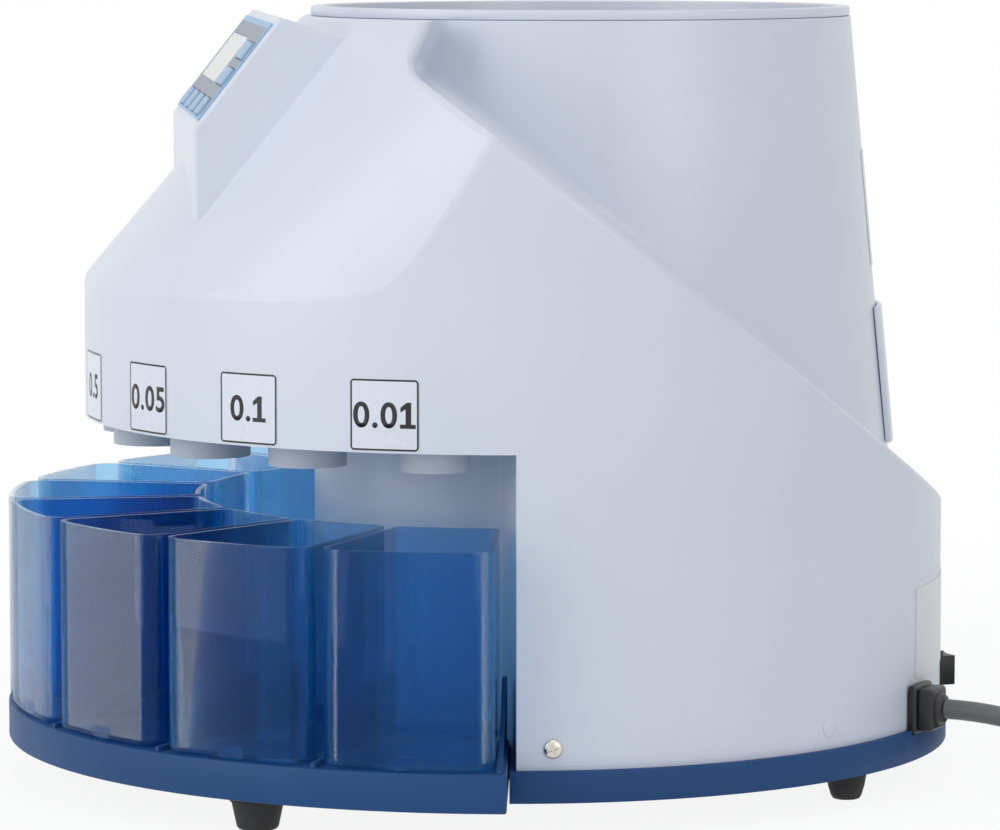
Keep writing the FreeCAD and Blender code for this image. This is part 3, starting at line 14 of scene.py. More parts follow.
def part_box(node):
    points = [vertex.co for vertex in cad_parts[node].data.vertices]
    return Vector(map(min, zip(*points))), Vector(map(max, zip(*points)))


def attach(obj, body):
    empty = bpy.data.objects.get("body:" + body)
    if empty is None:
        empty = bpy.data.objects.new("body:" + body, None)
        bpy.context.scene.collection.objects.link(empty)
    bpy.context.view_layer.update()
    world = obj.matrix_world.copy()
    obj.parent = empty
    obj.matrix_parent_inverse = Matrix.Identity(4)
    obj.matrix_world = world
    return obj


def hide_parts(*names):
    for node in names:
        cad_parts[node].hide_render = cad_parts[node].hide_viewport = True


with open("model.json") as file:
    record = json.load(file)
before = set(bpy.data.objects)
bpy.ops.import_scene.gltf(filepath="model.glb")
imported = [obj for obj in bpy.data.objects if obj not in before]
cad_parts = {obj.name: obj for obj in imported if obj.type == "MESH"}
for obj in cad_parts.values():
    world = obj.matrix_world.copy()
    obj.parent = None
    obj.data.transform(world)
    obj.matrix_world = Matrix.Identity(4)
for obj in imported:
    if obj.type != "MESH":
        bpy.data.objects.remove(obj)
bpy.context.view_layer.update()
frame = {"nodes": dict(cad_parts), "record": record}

SCENE = bpy.context.scene
MM = 0.001

# Places of the machine that several pieces share
AXIS_Y = 10 * MM
BIN_COUNT = 8
BIN_PITCH = 20
FIRST_BIN = 72
BIN_OUTER = 177 * MM
BIN_FOOT_ROUND = 2.2 * MM
BIN_RIM_ROUND = 0.6 * MM
TAB_INSET = 1.6 * MM
TAB_LIFT = 0.4 * MM
COVER_RADIUS = 150 * MM
POD_ORIGIN = Vector((0, -105.5, 226.6)) * MM
POD_TILT = math.radians(52)


def linear(red, green, blue):
    """Colour of a shader from the levels, 0 to 255, that a screen shows."""
    levels = []
    for level in (red, green, blue):
        part = level / 255
        levels.append(part / 12.92 if part <= 0.04045 else ((part + 0.055) / 1.055) ** 2.4)
    return (*levels, 1)


class Value:
    """A shader socket: Python's operators on it add the Math nodes."""

    def __init__(self, nodes, socket):
        self.nodes = nodes
        self.socket = socket

    def maths(self, operation, first, second=0.0):
        return self.nodes.node("ShaderNodeMath", {"operation": operation}, [first, second])

    def __add__(self, other):
        return self.maths("ADD", self, other)

    def __radd__(self, other):
        return self.maths("ADD", other, self)

    def __sub__(self, other):
        return self.maths("SUBTRACT", self, other)

    def __rsub__(self, other):
        return self.maths("SUBTRACT", other, self)

    def __mul__(self, other):
        return self.maths("MULTIPLY", self, other)

    def __abs__(self):
        return self.maths("ABSOLUTE", self)

    def at_least(self, other):
        return self.maths("MAXIMUM", self, other)

    def at_most(self, other):
        return self.maths("MINIMUM", self, other)

    def root(self):
        return self.maths("SQRT", self)

    def ramp(self, low, high):
        """0 below one value, 1 above another, and smooth between them."""
        return self.nodes.node("ShaderNodeMapRange", {"interpolation_type": "SMOOTHSTEP"},
                               {"Value": self, "From Min": low, "From Max": high})


class Nodes:
    """A node tree: nodes are added by type, with their settings first and their inputs next."""

    def __init__(self, tree):
        self.tree = tree

    def node(self, kind, settings=None, inputs=(), output=0):
        added = self.tree.nodes.new(kind)
        for name, setting in (settings or {}).items():
            setattr(added, name, setting)
        pairs = inputs.items() if isinstance(inputs, dict) else enumerate(inputs)
        for key, given in pairs:
            self.feed(added.inputs[key], given)
        return Value(self, added.outputs[output])

    def feed(self, socket, given):
        if isinstance(given, Value):
            self.tree.links.new(given.socket, socket)
        else:
            socket.default_value = given

    def seen(self):
        """1 for what is seen directly, in a reflection or through glass, and 0 for other light."""
        rays = self.node("ShaderNodeLightPath").socket.node.outputs
        camera, glossy, through = [Value(self, rays[f"Is {kind} Ray"])
                                   for kind in ("Camera", "Glossy", "Transmission")]
        return camera.at_least(glossy).at_least(through)


class Finish(Nodes):
    """One material and its shader."""

    def __init__(self, name):
        self.material = bpy.data.materials.new(name)
        self.material.use_nodes = True
        super().__init__(self.material.node_tree)
        self.shader = self.tree.nodes["Principled BSDF"]

    def place(self, stretch=(1, 1, 1)):
        """Point on the piece, in metres, stretched along its axes."""
        spot = self.node("ShaderNodeTexCoord", output=3)
        return self.node("ShaderNodeMapping", {}, {"Vector": spot, "Scale": stretch})

    def parts(self, spot):
        """A point's three numbers."""
        split = self.node("ShaderNodeSeparateXYZ", {}, [spot])
        outputs = split.socket.node.outputs
        return [Value(self, outputs[i]) for i in range(3)]

    def noise(self, spot, grain, detail=2.0, rough=0.5):
        """Cloudy value about 0.5, with features of about one grain, in metres."""
        return self.node("ShaderNodeTexNoise", {},
                         {"Vector": spot, "Scale": 1 / grain, "Detail": detail, "Roughness": rough})

    def blend(self, mask, low, high):
        """Colour that goes from one to another with a mask."""
        return self.node("ShaderNodeMix", {"data_type": "RGBA"}, {0: mask, 6: low, 7: high}, 2)

    def bump(self, height, depth, strength=1.0):
        """Normal of a surface whose height runs from 0 to 1 over a depth in metres."""
        return self.node("ShaderNodeBump", {}, {"Strength": strength, "Distance": depth, "Height": height})

    def surface(self, **inputs):
        """Set the shader's inputs, with an underscore for each space in their names."""
        for name, given in inputs.items():
            self.feed(self.shader.inputs[name.replace("_", " ")], given)
        return self.material


def moulded(name, colour, gloss, grain, depth, coat=0.0, shade=0.06, shine=0.5):
    """Moulded plastic: a faint drift of colour, fine grain and uneven gloss."""
    finish = Finish(name)
    spot = finish.place()
    drift = finish.noise(spot, 60 * MM, 3.0)
    fine = finish.noise(spot, grain, 3.0, 0.6)
    rubbed = finish.noise(spot, 14 * MM, 4.0, 0.65)
    darker = tuple(level * (1 - shade) for level in colour[:3]) + (1,)
    return finish.surface(Base_Color=finish.blend(drift.ramp(0.3, 0.7), darker, colour),
                          Roughness=gloss * 0.85 + rubbed * (gloss * 0.3),
                          Normal=finish.bump(fine, depth), Specular_IOR_Level=shine,
                          Coat_Weight=coat, Coat_Roughness=0.12)


def translucent(name):
    """Clear tinted plastic of the bins, with faint flow marks and a few rub marks."""
    finish = Finish(name)
    spot = finish.place((1, 1, 0.35))
    flow = finish.noise(spot, 30 * MM)
    marks = finish.noise(finish.place((1, 1, 6)), 5 * MM, 4.0, 0.7)
    tint = finish.blend(flow.ramp(0.3, 0.7), linear(6, 138, 222), linear(20, 150, 230))
    return finish.surface(Base_Color=tint, Roughness=0.02 + marks.ramp(0.55, 0.85) * 0.05,
                          Transmission_Weight=0.94, IOR=1.49, Alpha=0.45,
                          Specular_Tint=linear(180, 210, 255), Normal=finish.bump(flow, 0.15 * MM, 0.5))


def rubber(name, colour, gloss):
    """Matte rubber with dust-grey patches and a fine pebble."""
    finish = Finish(name)
    spot = finish.place()
    dust = finish.noise(spot, 9 * MM, 5.0, 0.7)
    pebble = finish.noise(spot, 0.6 * MM)
    dusty = tuple(level + 0.03 for level in colour[:3]) + (1,)
    return finish.surface(Base_Color=finish.blend(dust.ramp(0.45, 0.8), colour, dusty),
                          Roughness=gloss + dust * 0.25, Normal=finish.bump(pebble, 0.08 * MM))


def metal(name, colour, gloss, stretch, depth):
    """Bare metal with brush or turning marks along one way."""
    finish = Finish(name)
    marks = finish.noise(finish.place(stretch), 2 * MM, 4.0, 0.65)
    stain = finish.noise(finish.place(), 25 * MM, 3.0)
    darker = tuple(level * 0.82 for level in colour[:3]) + (1,)
    return finish.surface(Base_Color=finish.blend(stain.ramp(0.3, 0.75), colour, darker), Metallic=1.0,
                          Roughness=gloss + marks * (gloss * 0.6), Normal=finish.bump(marks, depth))


def circuit_lacquer(name):
    """Green lacquer over faint copper tracks."""
    finish = Finish(name)
    tracks = finish.node("ShaderNodeTexBrick", {}, {"Vector": finish.place(), "Scale": 90.0,
                                                    "Mortar Size": 0.06}, 1)
    tone = finish.blend(tracks, linear(24, 82, 46), linear(44, 112, 66))
    return finish.surface(Base_Color=tone, Roughness=0.3 + tracks * 0.15,
                          Normal=finish.bump(tracks, 0.05 * MM))


def rounded_frame(across, up, half, corner, line):
    """Mask of a line along a square with rounded corners, from two distances to its middle."""
    past_x = abs(across) - (half - corner)
    past_y = abs(up) - (half - corner)
    over_x, over_y = past_x.at_least(0), past_y.at_least(0)
    inside = past_x.at_least(past_y).at_most(0)
    edge = abs((over_x * over_x + over_y * over_y).root() + inside - corner)
    return 1 - edge.ramp(line * 0.42, line * 0.58)


LABEL_SIDE = 23.2 * MM


def label_paper(name):
    """Glossy label film with a black printed frame, laid out on the label's own map."""
    finish = Finish(name)
    spot = finish.node("ShaderNodeTexCoord", output=2)
    across, up = finish.parts(spot)[:2]
    frame_line = rounded_frame((across - 0.5) * LABEL_SIDE, (up - 0.5) * LABEL_SIDE,
                               half=11.28 * MM, corner=0.95 * MM, line=0.6 * MM)
    fibre = finish.noise(finish.place(), 3 * MM, 4.0)
    paper = finish.blend(fibre, linear(224, 229, 240), linear(231, 235, 245))
    return finish.surface(Base_Color=finish.blend(frame_line, paper, linear(22, 22, 25)),
                          Roughness=0.2 + fibre * 0.12, Normal=finish.bump(fibre, 0.02 * MM))


def screen_film(name):
    """Grey film of the panel with a pale blue border, on the panel's own slope."""
    finish = Finish(name)
    x, y, z = finish.parts(finish.place())
    along = (y - POD_ORIGIN.y) * math.cos(POD_TILT) + (z - POD_ORIGIN.z) * math.sin(POD_TILT)
    half_wide, half_tall, middle = 69.7 * MM, 20.4 * MM, 23.4 * MM
    from_side = half_wide - abs(x)
    from_end = half_tall - abs(along - middle)
    border = 1 - from_side.at_most(from_end).ramp(2.0 * MM, 2.4 * MM)
    weave = finish.noise(finish.place(), 0.5 * MM)
    grey = finish.blend(weave, linear(128, 140, 156), linear(140, 152, 168))
    return finish.surface(Base_Color=finish.blend(border, grey, linear(150, 190, 226)),
                          Roughness=0.35 + weave * 0.15, Normal=finish.bump(weave, 0.03 * MM))


def clear_window(name):
    """Clear cover of the display with a faint grey tint."""
    finish = Finish(name)
    haze = finish.noise(finish.place(), 8 * MM, 3.0)
    return finish.surface(Base_Color=finish.blend(haze, linear(228, 236, 236), linear(240, 246, 246)),
                          Roughness=0.02 + haze * 0.06, Transmission_Weight=0.95, IOR=1.49)


FINISHES = {
    "white_plastic": moulded("white_gloss_plastic", linear(221, 226, 238), 0.33, 1.4 * MM, 0.012 * MM,
                             coat=0.06, shade=0.02),
    "blue_plastic": moulded("blue_matte_plastic", linear(36, 76, 127), 0.5, 0.5 * MM, 0.03 * MM,
                            shade=0.08, shine=0.22),
    "bin_plastic": translucent("bin_tinted_plastic"),
    "foot_rubber": rubber("foot_black_rubber", linear(30, 30, 32), 0.55),
    "cord_rubber": rubber("cord_grey_rubber", linear(98, 98, 101), 0.3),
    "black_plastic": moulded("black_satin_plastic", linear(30, 30, 33), 0.42, 0.4 * MM, 0.03 * MM,
                             shade=0.15),
    "grey_plastic": moulded("grey_plastic", linear(172, 176, 182), 0.45, 0.5 * MM, 0.03 * MM),
    "key_plastic": moulded("key_pale_blue_plastic", linear(150, 184, 216), 0.4, 0.4 * MM, 0.03 * MM),
    "panel_film": screen_film("panel_grey_film"),
    "label_film": moulded("label_white_film", linear(230, 232, 236), 0.3, 0.8 * MM, 0.01 * MM),
    "window": clear_window("display_clear_window"),
    "lcd": moulded("display_grey_glass", linear(178, 186, 182), 0.25, 0.4 * MM, 0.005 * MM),
    "circuit_board": circuit_lacquer("circuit_green_lacquer"),
    "steel": metal("brushed_steel_plate", linear(196, 197, 199), 0.24, (1, 30, 30), 0.02 * MM),
    "nickel": metal("nickel_plate", linear(214, 210, 200), 0.16, (1, 1, 1), 0.01 * MM),
    "cast_aluminium": metal("machined_aluminium", linear(200, 203, 208), 0.3, (20, 20, 1), 0.03 * MM),
    "bronze": metal("turned_bronze", linear(186, 148, 92), 0.28, (1, 1, 40), 0.02 * MM),
    "motor_paint": moulded("motor_black_paint", linear(44, 44, 47), 0.35, 0.8 * MM, 0.03 * MM),
}
LABEL_PAPER = label_paper("label_printed_film")
# Painted shade: the white outlet deck and its chutes are coloured grey for the shade under the overhanging
# cover band
CHUTE_PAINTED_SHADE = moulded("chute_white_plastic_painted_shade", linear(190, 196, 208), 0.4, 1.4 * MM, 0.012 * MM)
PRINT_INK = moulded("label_black_ink", linear(24, 24, 27), 0.3, 0.3 * MM, 0.005 * MM)


def paint(piece, material):
    piece.data.materials.clear()
    piece.data.materials.append(material)


def dress_frame():
    """Give every CAD node the finish of its slot."""
    for row in frame["record"]["subparts"]:
        paint(frame["nodes"][row["node"]], FINISHES[row["material_slot"]])


def finished(piece, body, slot, *nodes, material=None):
    """Paint a new piece in its slot's finish or another, tie it to its body, and hide the CAD nodes that it
    stands for.
    """
    paint(piece, material or FINISHES[slot])
    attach(piece, body)
    if nodes:
        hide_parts(*nodes)


def add_object(name, data):
    """New object in the scene for a mesh, curve, camera or lamp."""
    added = bpy.data.objects.new(name, data)
    SCENE.collection.objects.link(added)
    return added


def make_active(piece):
    """Select one piece alone and make it the active one."""
    bpy.ops.object.select_all(action="DESELECT")
    piece.select_set(True)
    bpy.context.view_layer.objects.active = piece


def open_for_edit(piece):
    make_active(piece)
    bpy.ops.object.mode_set(mode="EDIT")


def close_edit():
    bpy.ops.object.mode_set(mode="OBJECT")


def pick_edges(piece, wanted):
    """In edit mode, select only the edges that a test accepts."""
    bpy.ops.mesh.select_mode(type="EDGE")
    bpy.ops.mesh.select_all(action="DESELECT")
    mesh = bmesh.from_edit_mesh(piece.data)
    for edge in mesh.edges:
        if wanted(edge):
            edge.select_set(True)
    mesh.select_flush_mode()
    bmesh.update_edit_mesh(piece.data)


def smooth(piece, angle=35):
    """Shade a piece smooth, apart from edges sharper than some degrees."""
    make_active(piece)
    bpy.ops.object.shade_smooth_by_angle(angle=math.radians(angle))


def copy_of(node, name):
    """New piece with a CAD node's shape, its triangles merged into whole faces."""
    piece = add_object(name, frame["nodes"][node].data.copy())
    open_for_edit(piece)
    bpy.ops.mesh.customdata_custom_splitnormals_clear()
    bpy.ops.mesh.select_all(action="SELECT")
    bpy.ops.mesh.remove_doubles(threshold=0.002 * MM)
    bpy.ops.mesh.dissolve_limited(angle_limit=math.radians(0.4))
    close_edit()
    return piece


def moved_copy(piece, name, place):
    """Copy of a finished shape with its own mesh, moved by a matrix."""
    twin = add_object(name, piece.data.copy())
    twin.data.transform(place)
    return twin


def about_axis(degrees):
    """Turn about the machine's upright axis."""
    centre = Matrix.Translation((0, AXIS_Y, 0))
    return centre @ Matrix.Rotation(math.radians(degrees), 4, "Z") @ centre.inverted()


def make_bins():
    """Bins with a rounded rim and foot: one is shaped, and the others are turned copies of it."""
    low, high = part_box("coin_bin_1")
    first = copy_of("coin_bin_1", "bin_shell_1")
    open_for_edit(first)
    pick_edges(first, lambda edge: all(v.co.z < low.z + 0.01 * MM for v in edge.verts))
    bpy.ops.mesh.bevel(offset=BIN_FOOT_ROUND, offset_type="OFFSET", segments=4, profile=0.5,
                       clamp_overlap=True)
    pick_edges(first, lambda edge: all(v.co.z > high.z - 0.01 * MM for v in edge.verts))
    bpy.ops.mesh.bevel(offset=BIN_RIM_ROUND, offset_type="OFFSET", segments=2, profile=0.5,
                       clamp_overlap=True)
    close_edit()
    tab = rounded_block("bin_tab", (-4.2, -0.75, 0), (4.2, 0.75, 3.8), 0.5)
    foot = Vector((0, -(BIN_OUTER - TAB_INSET), low.z + TAB_LIFT))
    tab.data.transform(about_axis(FIRST_BIN) @ Matrix.Translation(foot + Vector((0, AXIS_Y, 0))))
    join(first, tab)
    smooth(first, 30)
    shells = [first]
    for number in range(2, BIN_COUNT + 1):
        shells.append(moved_copy(first, f"bin_shell_{number}", about_axis(-BIN_PITCH * (number - 1))))
    for number, shell in enumerate(shells, start=1):
        finished(shell, f"bin_{number}", "bin_plastic", f"coin_bin_{number}")


def apply_modifier(piece, kind, **settings):
    """Add a modifier with its settings and apply it to the mesh."""
    make_active(piece)
    modifier = piece.modifiers.new(kind.lower(), kind)
    for name, setting in settings.items():
        setattr(modifier, name, setting)
    bpy.ops.object.modifier_apply(modifier=modifier.name)


def softened(node, name, width, body="housing", material=None):
    """Copy of a CAD node with a small round on its sharp edges, in the node's own finish or another."""
    piece = copy_of(node, name)
    apply_modifier(piece, "BEVEL", width=width, segments=2, limit_method="ANGLE",
                   angle_limit=math.radians(40), use_clamp_overlap=True)
    smooth(piece, 32)
    slot = next(row["material_slot"] for row in frame["record"]["subparts"] if row["node"] == node)
    finished(piece, body, slot, node, material=material)


def soften_mouldings():
    """Round the edges that the mould leaves on the tray, base, bowl and small mouldings."""
    for node, width in (("bin_tray", 0.7), ("base_plate", 0.7), ("hopper_bowl", 1.1), ("core_wall", 0.5),
                        ("rear_plate", 0.6), ("rocker_bezel", 0.5), ("mains_plug", 1.0)):
        softened(node, f"{node}_moulding", width * MM)
    # The outlet deck takes the grey painted shade of its chutes instead of its white plastic
    softened("outlet_deck", "outlet_deck_moulding", 0.6 * MM, "housing", CHUTE_PAINTED_SHADE)
    softened("power_rocker", "power_rocker_moulding", 0.4 * MM, "rocker")


def lathe(name, profile, steps=40):
    """Turned shape: a ring is drawn out and resized along radii and heights in millimetres, then closed."""
    bpy.ops.object.select_all(action="DESELECT")
    profile = [(radius * MM, height * MM) for radius, height in profile]
    radius, height = profile[0]
    bpy.ops.mesh.primitive_circle_add(vertices=steps, radius=radius, fill_type="NGON",
                                      location=(0, 0, height))
    piece = bpy.context.object
    piece.name = name
    bpy.ops.object.transform_apply(location=True, rotation=True, scale=True)
    bpy.ops.object.mode_set(mode="EDIT")
    bpy.ops.mesh.select_mode(type="FACE")
    bpy.ops.mesh.select_all(action="SELECT")
    for next_radius, next_height in profile[1:]:
        bpy.ops.mesh.extrude_region_move(TRANSFORM_OT_translate={"value": (0, 0, next_height - height)})
        ratio = next_radius / radius
        bpy.ops.transform.resize(value=(ratio, ratio, 1), center_override=(0, 0, next_height))
        radius, height = next_radius, next_height
    bpy.ops.mesh.select_all(action="SELECT")
    bpy.ops.mesh.normals_make_consistent(inside=False)
    close_edit()
    return piece


def rounded_block(name, low, high, radius, segments=3):
    """Block between two corners with all its edges rounded, in millimetres."""
    low, high = Vector(low) * MM, Vector(high) * MM
    bpy.ops.object.select_all(action="DESELECT")
    bpy.ops.mesh.primitive_cube_add(size=1, location=(low + high) / 2, scale=high - low)
    piece = bpy.context.object
    piece.name = name
    bpy.ops.object.transform_apply(location=True, rotation=True, scale=True)
    bpy.ops.object.mode_set(mode="EDIT")
    bpy.ops.mesh.select_all(action="SELECT")
    bpy.ops.mesh.bevel(offset=radius * MM, segments=segments, profile=0.5)
    close_edit()
    return piece


def join(whole, *others):
    """Put other shapes into one piece's mesh."""
    make_active(whole)
    for other in others:
        other.select_set(True)
    bpy.ops.object.join()


def outwards(azimuth, height, radius):
    """Place of a shape drawn along +Z that points out of the cover at degrees from the front."""
    angle = math.radians(azimuth)
    spot = Vector((radius * math.sin(angle), AXIS_Y - radius * math.cos(angle), height))
    return Matrix.Translation(spot) @ Matrix.Rotation(angle, 4, "Z") @ Matrix.Rotation(math.pi / 2, 4, "X")


SCREW_HEIGHT = 28.5 * MM
SCREW_ANGLES = (88.4, -88.4, -128)
SCREW_PROFILE = [(1.5, -9.0), (1.5, 0.05), (3.2, 0.05), (3.15, 0.4), (2.7, 0.9), (1.7, 1.15), (0.5, 1.25)]
CROSS_TURNS = (20, 110)
CAP_ANGLE = 128
CAP_PROFILE = [(1.5, -9.0), (1.5, 0.02), (3.2, 0.02), (3.1, 0.25), (2.6, 0.5), (1.5, 0.62), (0.4, 0.66)]


def make_screws():
    """Plated pan-head screws with a cross in each, and one under a flush cap in the cover's own plastic."""
    first = lathe("cover_screw_1", SCREW_PROFILE, 32)
    for turn in CROSS_TURNS:
        arm = rounded_block("cross_arm", (-1.7, -0.32, 0.55), (1.7, 0.32, 2), 0.1, 1)
        arm.data.transform(Matrix.Rotation(math.radians(turn), 4, "Z"))
        apply_modifier(first, "BOOLEAN", operation="DIFFERENCE", object=arm, solver="EXACT")
        bpy.data.objects.remove(arm)
    smooth(first)
    screws = [moved_copy(first, f"cover_screw_{i + 2}", outwards(azimuth, SCREW_HEIGHT, COVER_RADIUS))
              for i, azimuth in enumerate(SCREW_ANGLES[1:])]
    first.data.transform(outwards(SCREW_ANGLES[0], SCREW_HEIGHT, COVER_RADIUS))
    for screw in (first, *screws):
        finished(screw, "housing", "nickel")
    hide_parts("cover_screws")
    cap = lathe("screw_cap", CAP_PROFILE, 32)
    cap.data.transform(outwards(CAP_ANGLE, SCREW_HEIGHT, COVER_RADIUS))
    smooth(cap)
    finished(cap, "housing", "white_plastic")


# Each pair of feet: its profile, the circle it stands on and its degrees from the front
FEET = {
    "front_feet": ([(9.0, 12.0), (9.2, 11.6), (9.2, 9.4), (8.6, 9.0), (6.9, 1.0), (6.3, 0.3), (5.6, 0.0),
                    (3.6, 0.0), (3.2, 0.9)], 160 * MM, 52),
    "rear_feet": ([(7.0, 11.0), (7.0, 9.6), (6.8, 8.0), (6.2, 4.5), (5.2, 1.2), (4.5, 0.2), (3.9, 0.0),
                   (2.4, 0.0), (2.1, 0.7)], 137.4 * MM, 138.5),
}


def make_feet():
    """Rubber feet under the tray and dome feet under the back of the base."""
    for node, (profile, circle, azimuth) in FEET.items():
        for side, sign in (("right", 1), ("left", -1)):
            foot = lathe(f"{node}_{side}", profile)
            angle = math.radians(sign * azimuth)
            spot = (circle * math.sin(angle), AXIS_Y - circle * math.cos(angle), 0)
            foot.data.transform(Matrix.Translation(spot))
            smooth(foot, 40)
            finished(foot, "housing", "foot_rubber", node)


RELIEF_ANGLE = 149.5
RELIEF_HEIGHT = 28.4 * MM
NOSE_PROFILE = [(6.5, -12.7), (6.5, 0.6), (5.6, 0.7), (5.6, 8.9), (5.4, 9.6), (4.7, 10.9), (3.9, 11.3)]


def make_strain_relief():
    """Strain relief: a rounded flange and block outside the cover, and a short nose round the lead."""
    relief = rounded_block("strain_relief_block", (-8.3, -8.3, 0.3), (8.3, 8.3, 3.3), 0.9)
    block = rounded_block("relief_block", (-7.2, -7.2, 2.9), (7.2, 7.2, 9.0), 1.4, 4)
    join(relief, block, lathe("relief_nose", NOSE_PROFILE))
    relief.data.transform(outwards(RELIEF_ANGLE, RELIEF_HEIGHT, COVER_RADIUS))
    smooth(relief)
    finished(relief, "housing", "black_plastic", "strain_relief")


POD_PLACE = Matrix.Translation(POD_ORIGIN) @ Matrix.Rotation(POD_TILT, 4, "X")
# Keys in millimetres on the panel: how far they stand up, and the flange that holds them in
KEY_TALL = 7
KEY_STAND = 1.4
FLANGE_REACH = 1.2
FLANGE_LOW = -2.8
# Each key: its middle across the panel, its width and how far up the panel it starts
ROW_KEYS = {f"row_key_{i + 1}": (-49.5 + 33 * i, 22, 4.4) for i in range(4)}
SIDE_KEYS = {f"side_key_{i + 1}": (47, 34, 17 + 11 * i) for i in range(2)}


def make_keys():
    """Pillow-topped keys that stand a little above the panel film."""
    for node, (middle, width, rise) in {**ROW_KEYS, **SIDE_KEYS}.items():
        left, right = middle - width / 2, middle + width / 2
        key = rounded_block(f"{node}_cap", (left, rise, -KEY_STAND), (right, rise + KEY_TALL, KEY_STAND),
                            0.7, 4)
        flange = rounded_block("key_flange", (left - FLANGE_REACH, rise - FLANGE_REACH, FLANGE_LOW),
                               (right + FLANGE_REACH, rise + KEY_TALL + FLANGE_REACH, -KEY_STAND), 0.2, 1)
        join(key, flange)
        key.data.transform(POD_PLACE)
        smooth(key, 40)
        finished(key, node, "key_plastic", node)


LABEL_NUMBERS = ["0.01", "0.1", "0.05", "0.5", "1", "10", "2", "5"]
LABEL_PITCH = 19.24
LABEL_LOW = 125.1 * MM
FILM_STAND = 0.2 * MM
FILM_THICKNESS = 0.14 * MM
INK_STAND = 0.23 * MM
INK_THICKNESS = 0.06 * MM


def wrap(piece, azimuth, stand):
    """Lay a flat shape, drawn about its middle in X and Z, round the cover at degrees from the front."""
    for spot in piece.data.vertices:
        angle = math.radians(azimuth) + spot.co.x / COVER_RADIUS
        radius = COVER_RADIUS + stand - spot.co.y
        spot.co = (radius * math.sin(angle), AXIS_Y - radius * math.cos(angle), spot.co.z)


DIGIT_HEIGHT = 8.5 * MM
DIGIT_GAP = 0.95 * MM
DIGIT_STRETCH = 1.02
DIGIT_BOLD = 0.02
POINT_SHARE = 0.22
FIGURE_ONE = [(0.0, 0), (0.62, 0), (0.62, 0.16), (0.44, 0.16), (0.44, 1), (0.27, 1), (0.02, 0.8),
              (0.02, 0.62), (0.22, 0.74), (0.22, 0.16), (0.0, 0.16)]


def flat_figure(character):
    """One bold printed character, upright in X and Z, with its left foot at the origin."""
    bpy.ops.object.select_all(action="DESELECT")
    if character == "1":
        bpy.ops.mesh.primitive_circle_add(vertices=len(FIGURE_ONE), fill_type="NGON")
        figure = bpy.context.object
        for spot, (across, up) in zip(figure.data.vertices, FIGURE_ONE):
            spot.co = (across, 0, up)
    else:
        bpy.ops.object.text_add(rotation=(math.pi / 2, 0, 0))
        bpy.context.object.data.body = character
        bpy.context.object.data.offset = DIGIT_BOLD
        bpy.context.object.data.resolution_u = 6
        bpy.ops.object.convert(target="MESH")
        figure = bpy.context.object
        bpy.ops.object.transform_apply(location=True, rotation=True, scale=True)
    wide = [spot.co.x for spot in figure.data.vertices]
    tall = [spot.co.z for spot in figure.data.vertices]
    share = POINT_SHARE if character == "." else 1
    scale = DIGIT_HEIGHT * share / (max(tall) - min(tall))
    stretch = scale if character in ".1" else scale * DIGIT_STRETCH
    for spot in figure.data.vertices:
        spot.co = ((spot.co.x - min(wide)) * stretch, 0, (spot.co.z - min(tall)) * scale)
    return figure, (max(wide) - min(wide)) * stretch


def printed_number(number, name):
    """A number's characters side by side about X zero, as one thin print."""
    figures = []
    reach = 0
    for character in number:
        figure, width = flat_figure(character)
        figure.data.transform(Matrix.Translation((reach, 0, 0)))
        figures.append(figure)
        reach += width + DIGIT_GAP
    whole = figures[0]
    if len(figures) > 1:
        join(whole, *figures[1:])
    whole.name = name
    whole.data.transform(Matrix.Translation((-(reach - DIGIT_GAP) / 2, 0, 0)))
    open_for_edit(whole)
    bpy.ops.mesh.select_all(action="SELECT")
    bpy.ops.mesh.remove_doubles(threshold=0.001 * MM)
    close_edit()
    return whole


def make_label(order, number):
    """Label film with its frame and its printed number, bent round the cover."""
    azimuth = LABEL_PITCH * (3.5 - order)
    middle = LABEL_LOW + LABEL_SIDE / 2
    bpy.ops.object.select_all(action="DESELECT")
    bpy.ops.mesh.primitive_grid_add(x_subdivisions=20, y_subdivisions=4, size=LABEL_SIDE,
                                    rotation=(math.pi / 2, 0, 0), location=(0, 0, middle))
    film = bpy.context.object
    film.name = f"label_film_{order + 1}"
    bpy.ops.object.transform_apply(location=True, rotation=True, scale=True)
    wrap(film, azimuth, FILM_STAND)
    apply_modifier(film, "SOLIDIFY", thickness=FILM_THICKNESS, offset=-1)
    smooth(film, 30)
    finished(film, "housing", "label_film", material=LABEL_PAPER)
    digits = printed_number(number, f"label_number_{order + 1}")
    digits.data.transform(Matrix.Translation((0, 0, middle - DIGIT_HEIGHT / 2)))
    wrap(digits, azimuth, INK_STAND)
    apply_modifier(digits, "SOLIDIFY", thickness=INK_THICKNESS, offset=-1)
    finished(digits, "housing", "label_film", material=PRINT_INK)
    return film


def make_labels():
    films = [make_label(order, number) for order, number in enumerate(LABEL_NUMBERS)]
    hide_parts("number_labels")


def face(seer, spot, aim):
    """Put a camera or lamp at one point so that it looks at another."""
    seer.location = spot
    seer.rotation_euler = (Vector(aim) - Vector(spot)).to_track_quat("-Z", "Y").to_euler()


CAMERA_SPOT = (1.7552, -0.1898, 0.2991)
CAMERA_AIM = (0, 0.0052, 0.1224)
CAMERA_LENS = 181.8


def make_camera():
    camera = add_object("camera", bpy.data.cameras.new("camera"))
    face(camera, CAMERA_SPOT, CAMERA_AIM)
    camera.data.lens = CAMERA_LENS
    camera.data.sensor_fit = "HORIZONTAL"
    camera.data.sensor_width = 36
    SCENE.camera = camera


